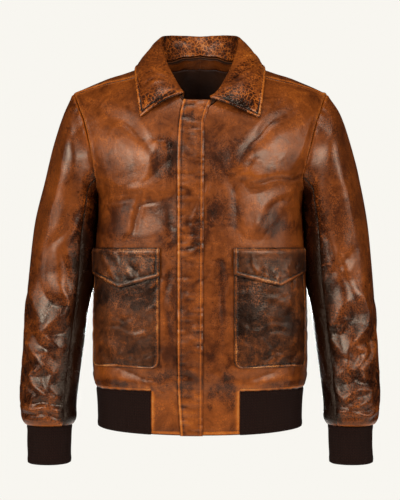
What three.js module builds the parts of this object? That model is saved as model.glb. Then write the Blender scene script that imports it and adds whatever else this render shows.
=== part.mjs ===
// A waist-length leather flight jacket, zipped shut and filled out as if worn, with nobody inside.
//
// Frame: millimetres, +Z up, front towards -Y, the wearer's left towards +X. The origin is on the middle plane,
// between the two points where the shoulders meet the neck, which is where the wearer holds the jacket up.
//
// Every piece is a wall of cloth cut from one of four curved forms: the body, a sleeve, a cuff or the collar. A form
// gives the point for two numbers. On the body, `phi` goes round from the middle (0) to the side (90 degrees), and
// `turn` goes from the shoulder ridge (0) over the shoulder (1) and on down: above 0 in front, below 0 behind.

import * as THREE from "three";

// ---------------------------------------------------------------- driving dimensions, millimetres

const LEATHER = 1.3; // one layer of hide
const POCKET_HIDE = 1.6; // with its turned edge
const FOLDED = 2.4; // hide turned back on itself: storm flap and pocket flaps
const RIB_KNIT = 3; // double rib knit
const LINING = 1.1;
const SEAM = 0.3; // gap between two pieces that are sewn together
const LAID_ON = 1.2; // gap under a piece that lies on a panel
const TUCKED = 1; // gap above a piece that lies inside a panel

const HEM_Z = -645;
const HEM_DIP = 7; // the hem is this much lower at the front middle
const RIB_TOP_Z = -577; // the waist rib is sewn to the leather here
const UNDERARM_Z = -240;
const SHOULDER_Z = -58; // where the shoulder ridge meets the armhole

const RIDGE_Y = 8; // the shoulder ridge lies a little behind the middle
const ROUNDNESS = 2.5; // superellipse power of the body's cross-section
const ARCH_FRONT = 185; // height over which the front turns over the shoulder
const ARCH_BACK = 170;

const NECK_HALF_WIDTH = 75;
const NECK_MID_Y = -16;
const NECK_DEPTH = { front: 89, back: 86 }; // from that middle to each end of the neck's oval

const ZIP_TOP_Z = -92;
const ZIP_X = -14; // the zip runs under the middle of the storm flap
const RIGHT_EDGE_X = 22; // cut edges of the two fronts, measured on each one's own side of the middle
const LEFT_EDGE_X = -6;
const RIB_END_X = { right: 85, left: 69 }; // the fronts reach the hem between the two ends of the waist rib

const STORM_TOP_Z = -80;

const POCKET_TOP_Z = -335;
const POCKET_FOOT_Z = -536;
const POCKET_CORNER = 13; // radius of the lower corners
const POCKET = {
  right: { innerX: 69, outerPhi: 75.2, pointX: 134, pointZ: -399, flapInnerZ: -379, flapOuterZ: -376 },
  left: { innerX: 58, outerPhi: 72.1, pointX: 133, pointZ: -396, flapInnerZ: -376, flapOuterZ: -373 },
};

// ---------------------------------------------------------------- small mathematics

const RAD = Math.PI / 180;
const vec = (x, y, z) => new THREE.Vector3(x, y, z);
const lerp = (a, b, f) => a + (b - a) * f;
const steps = (n, from = 0, to = 1) => Array.from({ length: n + 1 }, (_, i) => lerp(from, to, i / n));

/** A smooth curve through [place, value] pairs that never overshoots them. */
function through(pairs) {
  const last = pairs.length - 1;
  const x = pairs.map((p) => p[0]);
  const y = pairs.map((p) => p[1]);
  const slope = x.slice(1).map((_, i) => (y[i + 1] - y[i]) / (x[i + 1] - x[i]));
  const tangent = x.map((_, i) => {
    if (i === 0) return slope[0];
    if (i === last) return slope[last - 1];
    const [a, b] = [slope[i - 1], slope[i]];
    return a * b <= 0 ? 0 : (2 * a * b) / (a + b);
  });
  return (at) => {
    if (at <= x[0]) return y[0];
    if (at >= x[last]) return y[last];
    const i = x.findIndex((v) => v > at) - 1;
    const h = x[i + 1] - x[i];
    const t = (at - x[i]) / h;
    const [t2, t3] = [t * t, t * t * t];
    return (
      (2 * t3 - 3 * t2 + 1) * y[i] +
      (t3 - 2 * t2 + t) * h * tangent[i] +
      (3 * t2 - 2 * t3) * y[i + 1] +
      (t3 - t2) * h * tangent[i + 1]
    );
  };
}

/** The point at `at` (0 to n - 1) on a Catmull-Rom curve through n points. */
function along(points, at) {
  const i = Math.min(Math.max(Math.floor(at), 0), points.length - 2);
  const t = at - i;
  const [p1, p2] = [points[i], points[i + 1]];
  const p0 = points[i - 1] ?? p1.clone().multiplyScalar(2).sub(p2);
  const p3 = points[i + 2] ?? p2.clone().multiplyScalar(2).sub(p1);
  const mix = (a, b, c, d) =>
    0.5 * (2 * b + (c - a) * t + (2 * a - 5 * b + 4 * c - d) * t * t + (3 * b - a - 3 * c + d) * t ** 3);
  return vec(mix(p0.x, p1.x, p2.x, p3.x), mix(p0.y, p1.y, p2.y, p3.y), mix(p0.z, p1.z, p2.z, p3.z));
}

/** A form: its point at (u, v) and the unit normal there, from the two directions of a small step. */
const form = (at, du, dv) => ({
  at,
  normal: (u, v) => {
    const acrossU = at(u + du, v).sub(at(u - du, v));
    const acrossV = at(u, v + dv).sub(at(u, v - dv));
    return acrossU.cross(acrossV).normalize();
  },
});

// ---------------------------------------------------------------- the body form

const halfWidth = through([
  [HEM_Z - HEM_DIP, 180], [-600, 182], [RIB_TOP_Z, 184], [-562, 189], [-525, 190.5], [-450, 190], [-380, 188],
  [-310, 184], [-265, 181], [UNDERARM_Z, 181], [-215, 188], [-190, 200], [-165, 212], [-140, 221], [-110, 228],
  [-85, 233], [SHOULDER_Z, 237],
]);
const depthFront = through([
  [HEM_Z - HEM_DIP, 108], [-600, 110], [RIB_TOP_Z, 113], [-560, 119], [-525, 123], [-400, 127], [-300, 130],
  [-200, 131], [-120, 128], [0, 125],
]);
const depthBack = through([
  [HEM_Z - HEM_DIP, 103], [-600, 105], [RIB_TOP_Z, 108], [-560, 115], [-525, 117], [-400, 114], [-300, 116],
  [-200, 121], [-120, 120], [0, 115],
]);
const ridge = [[75, 0], [115, -14], [135, -21], [160, -28.5], [178, -35.5], [196, -43], [214, -51], [227, SHOULDER_Z]];
const FRONT = { sign: -1, reach: ARCH_FRONT, depth: depthFront, ridge: through([[0, 6], ...ridge, [245, -72]]) };
const BACK = {
  sign: 1,
  reach: ARCH_BACK,
  depth: depthBack,
  ridge: through([[0, 46], [28, 37], [53, 15], ...ridge, [245, -72]]),
};

/** How far below the ridge a turn lies, and the turn that lies so far below it. */
const dropOf = (turn, reach) =>
  turn < 1 ? reach * (1 - Math.cos((turn * Math.PI) / 2)) : reach * (1 + ((turn - 1) * Math.PI) / 2);
const turnOf = (drop, reach) => {
  const share = Math.max(0, drop / reach);
  return share < 1 ? (Math.acos(1 - share) * 2) / Math.PI : 1 + ((share - 1) * 2) / Math.PI;
};

/** How far forward a point of the body's cross-section lies, for its share of the half width. */
const aheadOf = (side) => Math.max(0, 1 - Math.abs(side) ** ROUNDNESS) ** (1 / ROUNDNESS);

function bodyPoint(phi, turn) {
  const face = turn < 0 ? BACK : FRONT;
  const drop = dropOf(Math.abs(turn), face.reach);
  const side = Math.sin(phi * RAD);
  const ahead = aheadOf(side);
  let z = -drop;
  let x = 0;
  for (let k = 0; k < 14; k++) {
    x = halfWidth(z) * side;
    z = face.ridge(Math.abs(x)) - drop;
  }
  const over = Math.sin((Math.min(Math.abs(turn), 1) * Math.PI) / 2);
  return vec(x, RIDGE_Y + face.sign * face.depth(z) * ahead * over, z);
}
const slopes = form((phi, turn) => bodyPoint(phi, turn), 0.4, 0.004);
const body = {
  at: bodyPoint,
  normal: (phi, turn) => slopes.normal(Math.min(Math.max(phi, -89.5), 89.5), turn).negate(),
};

/** The turn at height z, and the phi of a given x there. */
function turnAt(face, phi, z) {
  const x = Math.abs(halfWidth(z) * Math.sin(phi * RAD));
  return -face.sign * turnOf(face.ridge(x) - z, face.reach);
}
const phiAt = (x, z) => Math.asin(x / halfWidth(z)) / RAD;
const onFront = (x, z) => [phiAt(x, z), turnAt(FRONT, phiAt(x, z), z)];

/** The neckline: an oval in plan laid on the body. Angle 0 is the front and 180 the back. */
function neckline(angle) {
  const x = NECK_HALF_WIDTH * Math.sin(angle * RAD);
  const ahead = Math.cos(angle * RAD);
  const y = NECK_MID_Y - (ahead > 0 ? NECK_DEPTH.front : NECK_DEPTH.back) * ahead;
  const face = y > RIDGE_Y ? BACK : FRONT;
  let z = 0;
  let turn = 0;
  for (let k = 0; k < 12; k++) {
    const reach = face.depth(z) * aheadOf(x / halfWidth(z));
    turn = (Math.asin(Math.min(1, Math.abs(y - RIDGE_Y) / reach)) * 2) / Math.PI;
    z = face.ridge(Math.abs(x)) - dropOf(turn, face.reach);
  }
  return [phiAt(x, z), -face.sign * turn];
}
const NECK_RIDGE_ANGLE = Math.acos((NECK_MID_Y - RIDGE_Y) / NECK_DEPTH.back) / RAD;

/** The armhole for x above 0: angle 0 is the shoulder point, 90 the front, 180 the underarm and 270 the back. */
const armholePhi = {
  front: through([[0, 73.3], [46, 66.2], [64, 63], [92, 61.8], [110, 63.7], [130, 68.5], [145, 74.8], [158, 81], [180, 90]]),
  back: through([[0, 73.3], [46, 68.5], [64, 66.2], [92, 65.3], [110, 66.7], [130, 70.7], [145, 76.1], [158, 81.5], [180, 90]]),
};
function armhole(angle) {
  const face = angle > 180 ? BACK : FRONT;
  const down = angle > 180 ? 360 - angle : angle;
  const z = lerp(UNDERARM_Z, SHOULDER_Z, (1 + Math.cos(down * RAD)) / 2);
  const phi = (angle > 180 ? armholePhi.back : armholePhi.front)(down);
  return [phi, turnAt(face, phi, z)];
}

// The shoulder seam lies in front of the ridge and runs further forward at the neck.
const SEAM_ARMHOLE_ANGLE = 12;
const SEAM_NECK_ANGLE = 65;
const SEAM_STEP = 0.125; // degrees each side of that seam

// ---------------------------------------------------------------- cloth walls

/** A wall of cloth: outer and inner points, and the four-sided cells between them. */
class Sheet {
  outer = [];
  inner = [];
  cells = [];
  seen = new Map();

  /** rows of [u, v] on a form; lift moves the outer face out, thickness goes inwards from it. */
  static cut(shape, rows, { thickness, lift = 0, keep = () => true, normalAt = shape.normal }) {
    const sheet = new Sheet();
    const index = rows.map((row) =>
      row.map(([u, v]) => {
        const point = shape.at(u, v);
        const normal = normalAt(u, v);
        return sheet.add(
          point.clone().addScaledVector(normal, lift),
          point.clone().addScaledVector(normal, lift - thickness),
        );
      }),
    );
    for (let i = 0; i + 1 < rows.length; i++)
      for (let j = 0; j + 1 < rows[i].length; j++)
        if (keep(i, j)) sheet.cells.push([index[i][j], index[i][j + 1], index[i + 1][j + 1], index[i + 1][j]]);
    return sheet.faceOut();
  }

  add(outer, inner) {
    const key = outer.toArray().map((v) => Math.round(v * 500)).join();
    if (!this.seen.has(key)) {
      this.seen.set(key, this.outer.push(outer) - 1);
      this.inner.push(inner);
    }
    return this.seen.get(key);
  }

  /** Turns every cell so that its outer face looks away from the inner points. */
  faceOut() {
    let facing = 0;
    for (const [a, b, c, d] of this.cells) {
      const [p, q, r, s] = [a, b, c, d].map((i) => this.outer[i]);
      const n = r.clone().sub(p).cross(s.clone().sub(q));
      facing += n.dot(p.clone().sub(this.inner[a]));
    }
    if (facing < 0) this.cells = this.cells.map((cell) => cell.reverse());
    return this;
  }

  mirrored() {
    const flip = (p) => vec(-p.x, p.y, p.z);
    const sheet = new Sheet();
    sheet.outer = this.outer.map(flip);
    sheet.inner = this.inner.map(flip);
    sheet.cells = this.cells.map((cell) => [...cell]);
    return sheet.faceOut();
  }

  /** One closed solid: both faces, and a wall along every edge that only one cell has. */
  geometry() {
    const n = this.outer.length;
    const index = [];
    const edges = new Map();
    const face = (list, shift, flip) => {
      const ring = list.filter((p, i) => p !== list[(i + 1) % 4]);
      for (let i = 1; i + 1 < ring.length; i++) {
        const tri = [ring[0] + shift, ring[i] + shift, ring[i + 1] + shift];
        index.push(...(flip ? tri.reverse() : tri));
      }
    };
    for (const cell of this.cells) {
      face(cell, 0, false);
      face(cell, n, true);
      cell.forEach((p, i) => {
        const q = cell[(i + 1) % 4];
        if (p !== q && !edges.delete(`${q},${p}`)) edges.set(`${p},${q}`, [p, q]);
      });
    }
    for (const [p, q] of edges.values()) index.push(p, n + p, n + q, p, n + q, q);
    const positions = [...this.outer, ...this.inner].flatMap((p) => p.toArray());
    const geometry = new THREE.BufferGeometry();
    geometry.setAttribute("position", new THREE.Float32BufferAttribute(positions, 3));
    geometry.setIndex(index);
    return geometry;
  }
}

// ---------------------------------------------------------------- fronts and back

const LOWER_Z = [-562, -530, -460, -390, -330, -280, UNDERARM_Z];
const SIDE_PHI = 90 - 0.03;
const MIDDLE_ROWS = 5; // rows above the underarm that end on the middle edge
const NECK_ROWS = 5; // rows above those that end on the neckline
const OVER_ROWS = 3; // rows of the back that lie in front of the ridge
const HALF_ROWS = MIDDLE_ROWS + NECK_ROWS;

/** The armhole angles at which rows of the panels, and the seam edge of the sleeve, have their points. */
const FRONT_ANGLES = steps(HALF_ROWS, 180, SEAM_ARMHOLE_ANGLE);
const BACK_ANGLES = steps(HALF_ROWS, 180, 360);
const OVER_ANGLES = steps(OVER_ROWS, 0, SEAM_ARMHOLE_ANGLE);

/** A row of the body form between two [phi, turn] ends; settle (1 to 0) keeps it level near the underarm. */
function bodyRow(face, [p0, t0], [p1, t1], columns, settle) {
  const level = (phi) => turnAt(face, phi, UNDERARM_Z);
  return steps(columns).map((f) => {
    const phi = lerp(p0, p1, f);
    const straighten = level(phi) - lerp(level(p0), level(p1), f);
    return [phi, lerp(t0, t1, f) + settle * straighten];
  });
}

const hemAt = (x) => HEM_Z - HEM_DIP * Math.max(0, 1 - (x / 180) ** 2);

/** One front for x above 0: from edgeX to the side seam, without the corner that the waist rib takes. */
function frontSheet(edgeX, ribEndX) {
  const columns = 10;
  const ribColumn = 3;
  const lowerRow = (heightAt) =>
    steps(columns).map((_, j) => {
      const split = ribEndX - SEAM;
      const far = j > ribColumn;
      const x = lerp(edgeX, split, Math.min(j, ribColumn) / ribColumn);
      const z = heightAt(x);
      const phi = far
        ? lerp(phiAt(split, z), SIDE_PHI, (j - ribColumn) / (columns - ribColumn))
        : phiAt(x, z);
      return [phi, turnAt(FRONT, phi, z)];
    });
  const middle = (x) => (hemAt(x) + RIB_TOP_Z) / 2;
  const rows = [hemAt, middle, () => RIB_TOP_Z, ...LOWER_Z.map((z) => () => z)].map(lowerRow);
  const startAngle = Math.asin(edgeX / NECK_HALF_WIDTH) / RAD;
  const neckZ = bodyPoint(...neckline(startAngle)).z;
  for (let k = 1; k <= HALF_ROWS; k++) {
    const inner =
      k < MIDDLE_ROWS
        ? onFront(edgeX, lerp(UNDERARM_Z, neckZ, k / MIDDLE_ROWS))
        : neckline(lerp(startAngle, SEAM_NECK_ANGLE - SEAM_STEP, (k - MIDDLE_ROWS) / NECK_ROWS));
    const outer = armhole(k < HALF_ROWS ? FRONT_ANGLES[k] : SEAM_ARMHOLE_ANGLE + SEAM_STEP);
    rows.push(bodyRow(FRONT, inner, outer, columns, (1 - k / HALF_ROWS) ** 2));
  }
  return Sheet.cut(body, rows, { thickness: LEATHER, keep: (i, j) => i >= 2 || j < ribColumn });
}

/** The back, from side seam to side seam and over both shoulders to the seam in front of the ridge. */
function backSheet() {
  const columns = 9;
  const half = [RIB_TOP_Z, ...LOWER_Z].map((z) =>
    steps(columns, 0, SIDE_PHI).map((phi) => [phi, turnAt(BACK, phi, z)]),
  );
  const neckZ = bodyPoint(...neckline(180)).z;
  for (let k = 1; k <= HALF_ROWS; k++) {
    const inner =
      k < MIDDLE_ROWS
        ? [0, turnAt(BACK, 0, lerp(neckZ, UNDERARM_Z, (1 - k / MIDDLE_ROWS) ** 1.5))]
        : neckline(lerp(180, NECK_RIDGE_ANGLE, (k - MIDDLE_ROWS) / NECK_ROWS));
    const last = k === HALF_ROWS;
    const row = bodyRow(BACK, inner, armhole(last ? 0 : BACK_ANGLES[k]), columns, (1 - k / HALF_ROWS) ** 2);
    half.push(last ? row.map(([phi]) => [phi, 0]) : row);
  }
  for (let k = 1; k <= OVER_ROWS; k++) {
    const step = k === OVER_ROWS ? SEAM_STEP : 0;
    const inner = neckline(lerp(NECK_RIDGE_ANGLE, SEAM_NECK_ANGLE, k / OVER_ROWS) + step);
    half.push(bodyRow(FRONT, inner, armhole(OVER_ANGLES[k] - step), columns, 0));
  }
  const rows = half.map((row) => [...row.map(([phi, turn]) => [-phi, turn]).reverse(), ...row]);
  return Sheet.cut(body, rows, { thickness: LEATHER, keep: (i, j) => j !== columns });
}

/** The waist rib, from the end on the wearer's right round the back to the end on the left. */
function waistRibSheet() {
  const at = (phi, face, z) => [phi, turnAt(face, phi, z)];
  const rows = [0, 0.5, 1].map((f) => {
    const z = (x) => lerp(hemAt(x), RIB_TOP_Z - SEAM, f);
    const level = lerp(HEM_Z, RIB_TOP_Z - SEAM, f);
    const end = (x) => phiAt(x, z(x));
    const front = (x) =>
      steps(6, end(x), 90).map((phi) => at(phi, FRONT, z(halfWidth(level) * Math.sin(phi * RAD))));
    const back = steps(14, 90, -90).slice(1, -1).map((phi) => at(phi, BACK, level));
    const right = front(RIB_END_X.right).map(([phi, turn]) => [-phi, turn]).reverse();
    return [...front(RIB_END_X.left), ...back, ...right];
  });
  return Sheet.cut(body, rows, { thickness: RIB_KNIT });
}

// ---------------------------------------------------------------- sleeves and cuffs

// Rings down the arm: [outer x, z], [inner x, z], middle y, half depth.
const ARM_RINGS = [
  [[249, -93], [183, -254], 2, 76],
  [[268, -149], [184.5, -270], 3, 77],
  [[284, -212], [187, -292], 4, 75],
  [[297, -281], [189, -326], 3, 71],
  [[304, -353], [190.5, -374], 0, 67],
  [[309.5, -424], [195.5, -424], -4, 63],
  [[311.5, -493], [204.5, -493], -12, 60],
  [[314, -562], [212.5, -556], -22, 56],
  [[315, -606], [217, -601], -30, 53],
  [[312.5, -627], [217.5, -627], -34, 50.5],
  [[308, -637], [221, -637], -35, 46.5],
  [[304.2, -640], [223.8, -640], -35.5, 41],
];
const ring = ([[ox, oz], [ix, iz], y, depth], angle, slimmer = 0) => {
  const [c, s] = [Math.cos(angle * RAD), Math.sin(angle * RAD)];
  return vec(lerp(ix, ox - slimmer, (1 + c) / 2), y - depth * s, lerp(iz, oz, (1 + c) / 2));
};
/** The right upper arm hangs closer to the body than the left. */
const rightSlimmer = through([[-640, 0], [-560, 0.5], [-420, 2], [-300, 3.5], [-220, 8.5], [-93, 7.5]]);
const ARMHOLE_GAP = 0.45;
const armholeAt = (angle) => armhole(((angle % 360) + 360) % 360);
/** A sleeve's form, drawn for x above 0; the right one is mirrored afterwards. */
const sleeveForm = (slimmer) =>
  form(
    (angle, down) => {
      const start = bodyPoint(...armholeAt(angle)).add(vec(ARMHOLE_GAP, 0, 0));
      return along([start, ...ARM_RINGS.map((r) => ring(r, angle, slimmer(r[0][1])))], down);
    },
    0.5,
    0.02,
  );
const SLEEVE = { left: sleeveForm(() => 0), right: sleeveForm(rightSlimmer) };
const FRONT_SEAM_ANGLE = FRONT_ANGLES[3];
const BACK_SEAM_ANGLE = BACK_ANGLES[3];
const SLEEVE_SEAM_STEP = 0.17;
const SLEEVE_DOWN = [0, 0.5, 1, 2, 3, 4, 6, 8, 10, 11, 12];

/** At the armhole the wall leans with the body where its own lean would close the seam gap. */
const sleeveNormal = (sleeve) => (angle, down) => {
  const own = sleeve.normal(angle, down);
  if (down > 0) return own;
  const panel = body.normal(...armholeAt(angle));
  return own.x > panel.x ? panel : own;
};
function sleeveSheet(sleeve, angles) {
  const rows = SLEEVE_DOWN.map((down) => angles.map((angle) => [angle, down]));
  return Sheet.cut(sleeve, rows, { thickness: LEATHER, normalAt: sleeveNormal(sleeve) });
}
const TOP_ANGLES = [
  BACK_SEAM_ANGLE - 360 + SLEEVE_SEAM_STEP,
  ...BACK_ANGLES.slice(4).map((a) => a - 360),
  ...OVER_ANGLES.slice(1),
  ...FRONT_ANGLES.slice(4, -1).reverse(),
  FRONT_SEAM_ANGLE - SLEEVE_SEAM_STEP,
];
const UNDER_ANGLES = [
  FRONT_SEAM_ANGLE + SLEEVE_SEAM_STEP,
  ...FRONT_ANGLES.slice(0, 3).reverse(),
  ...BACK_ANGLES.slice(1, 3),
  BACK_SEAM_ANGLE - SLEEVE_SEAM_STEP,
];

const CUFF_RINGS = [
  [[303.5, -640.5], [224.5, -640.5], -35.5, 40],
  [[302.5, -652], [225.5, -652], -36, 38.5],
  [[302, -680], [226.5, -680], -37, 37.5],
  [[301.5, -705.5], [227, -705.5], -38, 37],
];
const cuff = form((angle, down) => along(CUFF_RINGS.map((r) => ring(r, angle)), down), 0.5, 0.02);
function cuffSheet() {
  const angles = steps(18, 0, 360);
  const rows = steps(3, 0, 3).map((down) => angles.map((angle) => [angle, down]));
  return Sheet.cut(cuff, rows, { thickness: RIB_KNIT });
}

// ---------------------------------------------------------------- collar

const foldX = through([[8, 10], [18, 25], [40, 44], [60, 58], [80, 67], [100, 71], [120, 66], [140, 50], [160, 27], [180, 0]]);
const foldY = through([[8, -104], [18, -99], [40, -68], [60, -34], [80, -2], [100, 24], [120, 47], [140, 66], [160, 78], [180, 83]]);
const foldZ = through([[8, -76], [18, -69], [40, -40], [60, -9], [80, 21], [100, 41], [120, 51.5], [140, 55.5], [160, 56.5], [180, 56]]);
const leafX = through([[8, 96], [20, 100], [40, 107], [60, 111], [78, 113], [95, 113], [115, 107], [135, 88], [150, 62], [165, 33], [180, 0]]);
const leafTurn = through([
  [8, 0.71], [20, 0.7], [40, 0.535], [60, 0.37], [78, 0.216], [95, 0], [115, -0.15], [135, -0.28], [150, -0.39],
  [165, -0.5], [180, -0.59],
]);
const leafPuff = through([[8, 4], [30, 6], [55, 6.5], [75, 3.5], [90, 2], [110, 2.5], [180, 4]]);
const COLLAR_RIGHT_END = 21.5; // degrees round the neck from the front, on each side
const COLLAR_LEFT_END = 14.5;
const FOLD_RADIUS = 4.2;
const COLLAR_CLEAR = 2.6; // the collar's two layers stand this far off the cut edge of the neck

/** The collar's points at one place round the neck, from its seam up the stand, over the fold and down the leaf. */
function collarSection(at) {
  const side = at < 180 ? -1 : 1;
  const a = Math.min(at, 360 - at);
  const fold = (w) => vec(foldX(w), foldY(w), foldZ(w));
  const top = fold(a);
  const seam = bodyPoint(...neckline(a));
  seam.addScaledVector(top.clone().sub(seam).normalize(), COLLAR_CLEAR);
  const turn = leafTurn(a);
  const face = turn < 0 ? BACK : FRONT;
  const x = leafX(a);
  const place = [phiAt(x, face.ridge(x) - dropOf(Math.abs(turn), face.reach)), turn];
  const edge = bodyPoint(...place).addScaledVector(body.normal(...place), 3.4);
  const [before, after] = [fold(a - 3), fold(a + 3)];
  if (a > 177) after.copy(vec(-foldX(360 - a - 3), foldY(357 - a), foldZ(357 - a)));
  const round = after.sub(before).normalize();
  const across = (from, to) => {
    const d = to.clone().sub(from);
    return d.addScaledVector(round, -d.dot(round)).normalize();
  };
  const up = across(seam, top).sub(across(top, edge)).normalize();
  const out = round.clone().cross(up).normalize();
  const radius = Math.min(FOLD_RADIUS, top.distanceTo(seam) * 0.42);
  const centre = top.clone().addScaledVector(up, -radius);
  const stand = centre.clone().addScaledVector(out, -radius);
  const leaf = centre.clone().addScaledVector(out, radius);
  const raised = edge.clone().sub(leaf).cross(round).normalize();
  const puff = leafPuff(a);
  const onLeaf = (f, bulge) => leaf.clone().lerp(edge, f).addScaledVector(raised, bulge);
  const points = [seam, seam.clone().lerp(stand, 0.5), stand, top, leaf, onLeaf(0.35, puff), onLeaf(0.7, 0.8 * puff), edge];
  for (const p of points) p.x *= side;
  return points;
}
const collar = form((at, f) => along(collarSection(at), f), 0.4, 0.03);
function collarSheet(lift) {
  const places = steps(21, COLLAR_RIGHT_END, 360 - COLLAR_LEFT_END);
  const rows = [0, 1, 2, 2.5, 3, 3.5, 4, 5, 6, 7].map((f) => places.map((at) => [at, f]));
  return Sheet.cut(collar, rows, { thickness: LEATHER, lift });
}

// ---------------------------------------------------------------- what lies on the fronts, and inside the back

const patch = (rows, thickness, lift) => Sheet.cut(body, rows, { thickness, lift });

/** A patch pocket for x above 0, square at the top and rounded at its lower corners. */
function pocketSheet({ innerX, outerPhi }) {
  const corner = [0, 0.3, 0.6, 1].map((f) => [POCKET_FOOT_Z + POCKET_CORNER * (1 - Math.cos((f * Math.PI) / 2)), 1 - Math.sin((f * Math.PI) / 2)]);
  const straight = [-480, -430, -380, POCKET_TOP_Z].map((z) => [z, 0]);
  const rows = [...corner, ...straight].map(([z, inset]) => {
    const outerX = halfWidth(z) * Math.sin(outerPhi * RAD) - (inset * POCKET_CORNER) / 2.6;
    const [p0, p1] = [phiAt(innerX + inset * POCKET_CORNER, z), phiAt(outerX, z)];
    return steps(7, p0, p1).map((phi) => [phi, turnAt(FRONT, phi, z)]);
  });
  return patch(rows, POCKET_HIDE, LAID_ON + POCKET_HIDE);
}

const FLAP_LIFT = LAID_ON + POCKET_HIDE + 1 + FOLDED;
/** The pocket's pointed flap. */
function pocketFlapSheet({ innerX, outerPhi, pointX, pointZ, flapInnerZ, flapOuterZ }) {
  const top = POCKET_TOP_Z + 3;
  const outerX = halfWidth(flapOuterZ) * Math.sin((outerPhi + 1.2) * RAD);
  const columns = [
    ...steps(4, innerX - 1, pointX).slice(0, -1).map((x) => [x, lerp(flapInnerZ, pointZ, (x - innerX + 1) / (pointX - innerX + 1))]),
    ...steps(4, phiAt(pointX, pointZ), phiAt(outerX, flapOuterZ)).map((phi) => {
      const x = halfWidth(flapOuterZ) * Math.sin(phi * RAD);
      return [x, lerp(pointZ, flapOuterZ, Math.min(1, (x - pointX) / (outerX - pointX)))];
    }),
  ];
  const rows = steps(3).map((f) => columns.map(([x, foot]) => onFront(x, lerp(top, foot, f))));
  return patch(rows, FOLDED, FLAP_LIFT);
}

/** Heights of rows down the front middle, at the same levels as the rows of the fronts. */
const MIDDLE_HEIGHTS = [
  hemAt,
  (x) => (hemAt(x) + RIB_TOP_Z) / 2,
  ...[RIB_TOP_Z, ...LOWER_Z, ...steps(MIDDLE_ROWS, UNDERARM_Z, STORM_TOP_Z).slice(1)].map((z) => () => z),
];
const stormFreeX = through([[-652, -33], [-615, -35.5], [-560, -38], [-180, -38], [-130, -36.5], [-96, -33], [-77, -27]]);
const stormSewnX = through([[-652, 4], [-400, 5], [-240, 6], [-120, 7], [-77, 12]]);
function stormFlapSheet() {
  const rows = MIDDLE_HEIGHTS.map((heightAt) =>
    steps(4).map((g) => {
      const level = heightAt(0);
      const x = lerp(stormFreeX(level), stormSewnX(level), g);
      return onFront(x, heightAt(x));
    }),
  );
  return patch(rows, FOLDED, LAID_ON + FOLDED);
}

/** The closed zip: two tapes and the chain between them, as one length. */
function zipGeometry() {
  const back = -LEATHER - TUCKED;
  const section = [[-15, back - 1], [15, back - 1], [15, back], [3, back], [3, 0], [-3, 0], [-3, back], [-15, back]];
  const heights = MIDDLE_HEIGHTS.map((heightAt, i) => (x) => (i === MIDDLE_HEIGHTS.length - 1 ? ZIP_TOP_Z : heightAt(x)));
  const positions = [];
  for (const heightAt of heights)
    for (const [dx, lift] of section) {
      const place = onFront(ZIP_X + dx, heightAt(ZIP_X + dx));
      positions.push(...bodyPoint(...place).addScaledVector(body.normal(...place), lift).toArray());
    }
  const n = section.length;
  const index = [];
  for (let i = 0; i + 1 < heights.length; i++)
    for (let j = 0; j < n; j++) {
      const [a, b] = [i * n + j, i * n + ((j + 1) % n)];
      index.push(a, b + n, b, a, a + n, b + n);
    }
  const cap = THREE.ShapeUtils.triangulateShape(section.map(([x, y]) => new THREE.Vector2(x, y)), []);
  const end = (heights.length - 1) * n;
  for (const [a, b, c] of cap) index.push(a, b, c, end + a, end + c, end + b);
  const geometry = new THREE.BufferGeometry();
  geometry.setAttribute("position", new THREE.Float32BufferAttribute(positions, 3));
  geometry.setIndex(index);
  return geometry;
}

const FACING_LIFT = -LEATHER - 4.6;
const LINING_LIFT = -LEATHER - 5; // it hangs a little away from the leather
const NECK_BACK_ANGLES = steps(12, NECK_RIDGE_ANGLE + 2, 360 - NECK_RIDGE_ANGLE - 2);
const backNeck = NECK_BACK_ANGLES.map((angle) => {
  const [phi, turn] = neckline(Math.min(angle, 360 - angle));
  return [angle > 180 ? -phi : phi, turn];
});
const FACING_DEPTH = 0.11; // in turns; the lining goes on from there
const neckFacingSheet = () =>
  patch([0, 0.5, 1].map((f) => backNeck.map(([phi, turn]) => [phi, turn - f * FACING_DEPTH])), LINING, FACING_LIFT);
const backLiningSheet = () =>
  patch(
    steps(4).map((f) => backNeck.map(([phi, turn]) => [phi * (1 + 2 * f), turn - FACING_DEPTH - 0.003 - f * lerp(0.42, 0.3, Math.abs(phi) / 20)])),
    LINING,
    LINING_LIFT,
  );

// ---------------------------------------------------------------- the jacket

const group = new THREE.Group();
const HIDE = new THREE.MeshStandardMaterial({ color: "#7a451f", roughness: 0.5 });
const KNIT = new THREE.MeshStandardMaterial({ color: "#241612", roughness: 0.9 });
const WOVEN = new THREE.MeshStandardMaterial({ color: "#3c241a", roughness: 0.8 });
const BRASS = new THREE.MeshStandardMaterial({ color: "#8a7442", roughness: 0.4, metalness: 1 });

function place(name, geometry, material = HIDE) {
  const mesh = new THREE.Mesh(geometry, material);
  mesh.name = name;
  group.add(mesh);
}
const placeSheet = (name, sheet, material) => place(name, sheet.geometry(), material);

const frontLeft = frontSheet(LEFT_EDGE_X, RIB_END_X.left);
placeSheet("front_left", frontLeft);
placeSheet("front_right", frontSheet(RIGHT_EDGE_X, RIB_END_X.right).mirrored());
placeSheet("back", backSheet());
placeSheet("waist_rib", waistRibSheet(), KNIT);
for (const [name, angles] of [["sleeve_top", TOP_ANGLES], ["sleeve_under", UNDER_ANGLES]]) {
  placeSheet(`${name}_left`, sleeveSheet(SLEEVE.left, angles));
  placeSheet(`${name}_right`, sleeveSheet(SLEEVE.right, angles).mirrored());
}
placeSheet("cuff_left", cuffSheet(), KNIT);
placeSheet("cuff_right", cuffSheet().mirrored(), KNIT);
placeSheet("upper_collar", collarSheet(LEATHER + SEAM));
placeSheet("under_collar", collarSheet(0));
placeSheet("neck_facing", neckFacingSheet(), WOVEN);
placeSheet("back_lining", backLiningSheet(), WOVEN);
placeSheet("pocket_left", pocketSheet(POCKET.left));
placeSheet("pocket_right", pocketSheet(POCKET.right).mirrored());
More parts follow.
